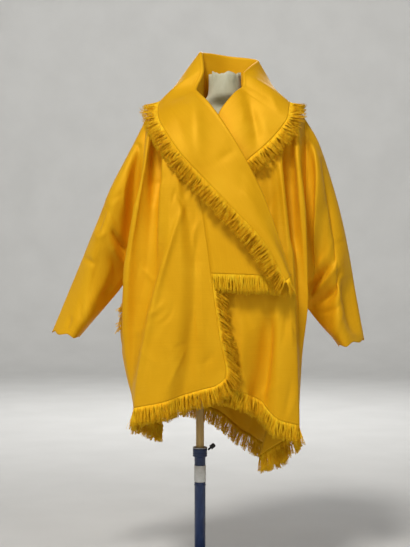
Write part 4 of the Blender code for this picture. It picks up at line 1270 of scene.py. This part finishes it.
RUFFLE_PLACES = (35, 100, 160, 221, 285, 338)
RUFFLE_WIDE = math.radians(17)
TOP_SINK = 0.004
TOP_STEPS = ((0.90, 0.0005), (0.72, 0.004), (0.45, 0.006), (0.12, 0.006))
NECK_TOP = FORM_RINGS[-1].height
turns = np.linspace(0, 2 * math.pi, FORM_SIDES, endpoint=False)


def form_ring(height, across, half, front, back):
    """A ring of the form, with the gathers of its cover near the top of the neck."""
    gather = np.clip((height - GATHER_FROM) / (NECK_TOP - GATHER_FROM), 0.0, 1.0) ** 1.5
    ripple = np.sin(GATHERS * turns + RIPPLE_SKEW * np.sin(3 * turns))
    ripple = ripple * (RIPPLE_MEAN + RIPPLE_SWING * np.sin(2 * turns + 1.0))
    swell = 1 + GATHER_SWELL * gather * ripple
    x = across + half * swell * np.cos(turns)
    y = np.where(np.sin(turns) < 0, front, back) * swell * np.sin(turns)
    bumps = sum(np.exp(-(((turns - math.radians(place)) / RUFFLE_WIDE) ** 2)) for place in RUFFLE_PLACES)
    z = height + RUFFLE_HEIGHT * gather * (bumps + RIPPLE_RISE * ripple - RUFFLE_MIDDLE)
    return np.stack((x, y, z), axis=1)


heights = np.linspace(FORM_RINGS[0].height, NECK_TOP, FORM_STEPS)
sizes = smooth([ring.height for ring in FORM_RINGS], [ring[1:] for ring in FORM_RINGS], heights)
form_rings = [form_ring(height, *size) for height, size in zip(heights, sizes)]
top_ring = form_rings[-1]
top_middle = np.array((sizes[-1][0], 0.0, NECK_TOP - TOP_SINK))
for share, drop in TOP_STEPS:
    form_rings.append(top_middle + (top_ring - top_middle) * share - np.array((0, 0, drop)))
add_rings("form_cover", form_rings, cotton, "form", ["form_torso"])

# %% [markdown]
# ## Pole and stand
# A wooden pole carries the form. It slides in a painted pipe whose ribbed coupling and pale rim show under
# the coat. A turned profile, a list of radius and height, is spun round the axis for each of them, with a
# second point close to each corner so that it catches the light.

# %% Turned pieces
SPIN_SIDES = 64
EASE = 0.0006
EASE_MOST = 0.4


def spun(profile):
    """Rings round the stand's axis from (radius, height) pairs."""
    a = np.linspace(0, 2 * math.pi, SPIN_SIDES, endpoint=False)
    return [np.stack((r * np.cos(a), r * np.sin(a), np.full_like(a, z)), axis=1) for r, z in profile]


def eased(profile, ease=EASE):
    """The profile with each corner cut into two points."""
    made = []
    points = [np.array(p) for p in profile]
    for before, here, after in zip(points[-1:] + points[:-1], points, points[1:] + points[:1]):
        for other in (before, after):
            away = other - here
            made.append(here + away * min(EASE_MOST, ease / max(np.linalg.norm(away), 1e-9)))
    return made


AXIS_GAP = 0.001
POLE_RADIUS = 0.012
POLE_BOTTOM = 0.200
POLE_TOP = FORM_RINGS[0].height - 0.0003
POLE_PROFILE = (
    (AXIS_GAP, POLE_BOTTOM), (POLE_RADIUS, POLE_BOTTOM), (POLE_RADIUS, POLE_TOP), (AXIS_GAP, POLE_TOP),
)
add_rings("wooden_pole", spun(eased(POLE_PROFILE)), wood, "form", ["form_pole"])

# %% Pipe, rim, tape and plate
PIPE_RADIUS = 0.0165
PIPE_BORE = 0.0126
PIPE_TOP = 0.400
PIPE_BOTTOM = 0.0123
PIPE_EASE = 0.0004
BEAD_RADIUS = 0.0176
BEAD = (0.284, 0.285, 0.289, 0.290)
COUPLING_RADIUS = 0.0215
COUPLING_LOW = 0.370
COUPLING_FULL = 0.372
GROOVE_RADIUS = 0.0208
GROOVES = ((0.376, 0.3765, 0.3785, 0.379), (0.383, 0.3835, 0.3855, 0.386))
MOUTH_RADIUS = 0.0178
MOUTH_LOW = 0.380
BORE_TOP = 0.376
RIM_SEAT = 0.396
RIM_LOW = 0.3962
TAPE_INSIDE = PIPE_RADIUS + 0.0003
TAPE_OUTSIDE = TAPE_INSIDE + 0.0008
TAPE_LOW = 0.296
TAPE_TOP = 0.345
TAPE_EASE = 0.0002
PLATE_PROFILE = ((AXIS_GAP, 0.0), (0.190, 0.0), (0.190, 0.009), (0.187, 0.012), (AXIS_GAP, 0.012))


def band(inside, outside, low, high):
    """The profile of a plain ring."""
    return [(inside, low), (outside, low), (outside, high), (inside, high)]


def stepped(outer, inner, heights):
    """A bead or groove of a profile: from the outer radius to the inner one and back."""
    return list(zip((outer, inner, inner, outer), heights))


pipe_profile = [(PIPE_BORE, PIPE_BOTTOM), (PIPE_RADIUS, PIPE_BOTTOM)]
pipe_profile += stepped(PIPE_RADIUS, BEAD_RADIUS, BEAD)
pipe_profile += [(PIPE_RADIUS, COUPLING_LOW), (COUPLING_RADIUS, COUPLING_FULL)]
for groove in GROOVES:
    pipe_profile += stepped(COUPLING_RADIUS, GROOVE_RADIUS, groove)
pipe_profile += [(COUPLING_RADIUS, RIM_SEAT), (MOUTH_RADIUS, RIM_SEAT)]
pipe_profile += [(MOUTH_RADIUS, MOUTH_LOW), (PIPE_BORE, BORE_TOP)]
rim_profile = band(MOUTH_RADIUS, COUPLING_RADIUS, RIM_LOW, PIPE_TOP)
tape_profile = band(TAPE_INSIDE, TAPE_OUTSIDE, TAPE_LOW, TAPE_TOP)
pipe_rings = spun(eased(pipe_profile, PIPE_EASE))
tape_rings = spun(eased(tape_profile, TAPE_EASE))
add_rings("painted_pipe", pipe_rings, blue_paint, "stand", ["stand_pipe"], hollow=True)
add_rings("pipe_rim", spun(eased(rim_profile)), rim_metal, "stand", [], hollow=True)
add_rings("tape_band", tape_rings, white_tape, "stand", ["stand_tape"], hollow=True)
add_rings("floor_plate", spun(eased(PLATE_PROFILE)), plate_paint, "stand", ["stand_base"])

# %% [markdown]
# ## Clamp screw
# A small black knob presses a screw against the pole and so holds its height. It is made of rings too,
# but round a tilted line, and a wave in their radius makes the grips of the knob.

# %% The clamp screw
KNOB_START = np.array((0.0242, 0.0, 0.391))
KNOB_TILT = math.radians(40)
KNOB_PROFILE = (
    (0.0002, 0.0005), (0.0002, 0.0028), (0.010, 0.0030), (0.0102, 0.0055), (0.0112, 0.0065),
    (0.0228, 0.0065), (0.0242, 0.0060), (0.0258, 0.0046), (0.0260, 0.0005),
)
KNOB_SIDES = 96
KNOB_GRIPS = 12
GRIP_DEPTH = 0.05
GRIP_FROM = 0.006
axis = np.array((math.cos(KNOB_TILT), 0.0, math.sin(KNOB_TILT)))
rise = np.array((-math.sin(KNOB_TILT), 0.0, math.cos(KNOB_TILT)))
knob_turns = np.linspace(0, 2 * math.pi, KNOB_SIDES, endpoint=False)[:, None]
round_it = np.cos(knob_turns) * np.array((0.0, 1.0, 0.0)) + np.sin(knob_turns) * rise
knob_rings = []
for out, radius in KNOB_PROFILE:
    grip = 1 + GRIP_DEPTH * np.cos(KNOB_GRIPS * knob_turns) * (radius > GRIP_FROM)
    knob_rings.append(KNOB_START + axis * out + radius * grip * round_it)
add_rings("clamp_knob", knob_rings, black_plastic, "stand", ["clamp_screw"])

# %% [markdown]
# ## Floor and light
# A wide pale floor curves up into a pale wall all round, so the coat has a plain backdrop from every side.
# Large soft lights show the cloth's planes without hard shadows. The key is high in front, a little to the
# left, as the shadow under the lapel tells. A weak fill is low on the right, a light behind serves the
# back, and one is turned to the wall.

# %% Stage
def add_light(name, place, target, size, watts, colour=(1.0, 1.0, 1.0)):
    """A square soft light that points at a target."""
    light = bpy.data.lights.new(name, "AREA")
    light.size = size
    light.energy = watts
    light.color = colour
    made = bpy.data.objects.new(name, light)
    made.location = place
    away = np.array(place) - np.array(target)
    flat = math.hypot(away[0], away[1])
    made.rotation_euler = (math.atan2(flat, away[2]), 0.0, math.atan2(away[0], -away[1]))
    bpy.context.scene.collection.objects.link(made)


FLOOR_HOLE = 0.02
FLOOR_RADIUS = 7.0
CURVE_RADIUS = 2.0
WALL_TOP = 6.2
WALL_RADIUS = FLOOR_RADIUS + CURVE_RADIUS
floor_look = make_plain("pale floor", (0.55, 0.55, 0.54), (0.58, 0.58, 0.57), 0.85, 3.0, 0.0002)
sweep = [(FLOOR_HOLE, 0.0), (FLOOR_RADIUS, 0.0)]
for turn in np.radians(np.linspace(10, 90, 9)):
    sweep.append((FLOOR_RADIUS + CURVE_RADIUS * math.sin(turn), CURVE_RADIUS * (1 - math.cos(turn))))
sweep.append((WALL_RADIUS, WALL_TOP))
floor_rings = np.array(spun(sweep))
floor = add_piece("floor", floor_rings.reshape(-1, 3), ring_faces(*floor_rings.shape[:2]), floor_look)
AIM = (0.03, 0.0, 1.0)
WALL_AIM = (0.0, WALL_RADIUS, 1.6)
add_light("key", (-2.6, -6.8, 9.4), AIM, size=2.2, watts=900, colour=(1.0, 0.97, 0.92))
add_light("fill", (1.6, -3.2, 1.4), AIM, size=2.0, watts=2, colour=(0.96, 0.98, 1.0))
add_light("behind", (0.2, 4.3, 3.9), AIM, size=2.6, watts=120)
add_light("backdrop", (0.0, 3.2, 4.4), WALL_AIM, size=3.0, watts=150)
world = bpy.data.worlds.new("soft room")
world.use_nodes = True
background = world.node_tree.nodes["Background"]
background.inputs["Color"].default_value = (0.86, 0.88, 0.90, 1.0)
background.inputs["Strength"].default_value = 0.05
bpy.context.scene.world = world
print("stage ready")
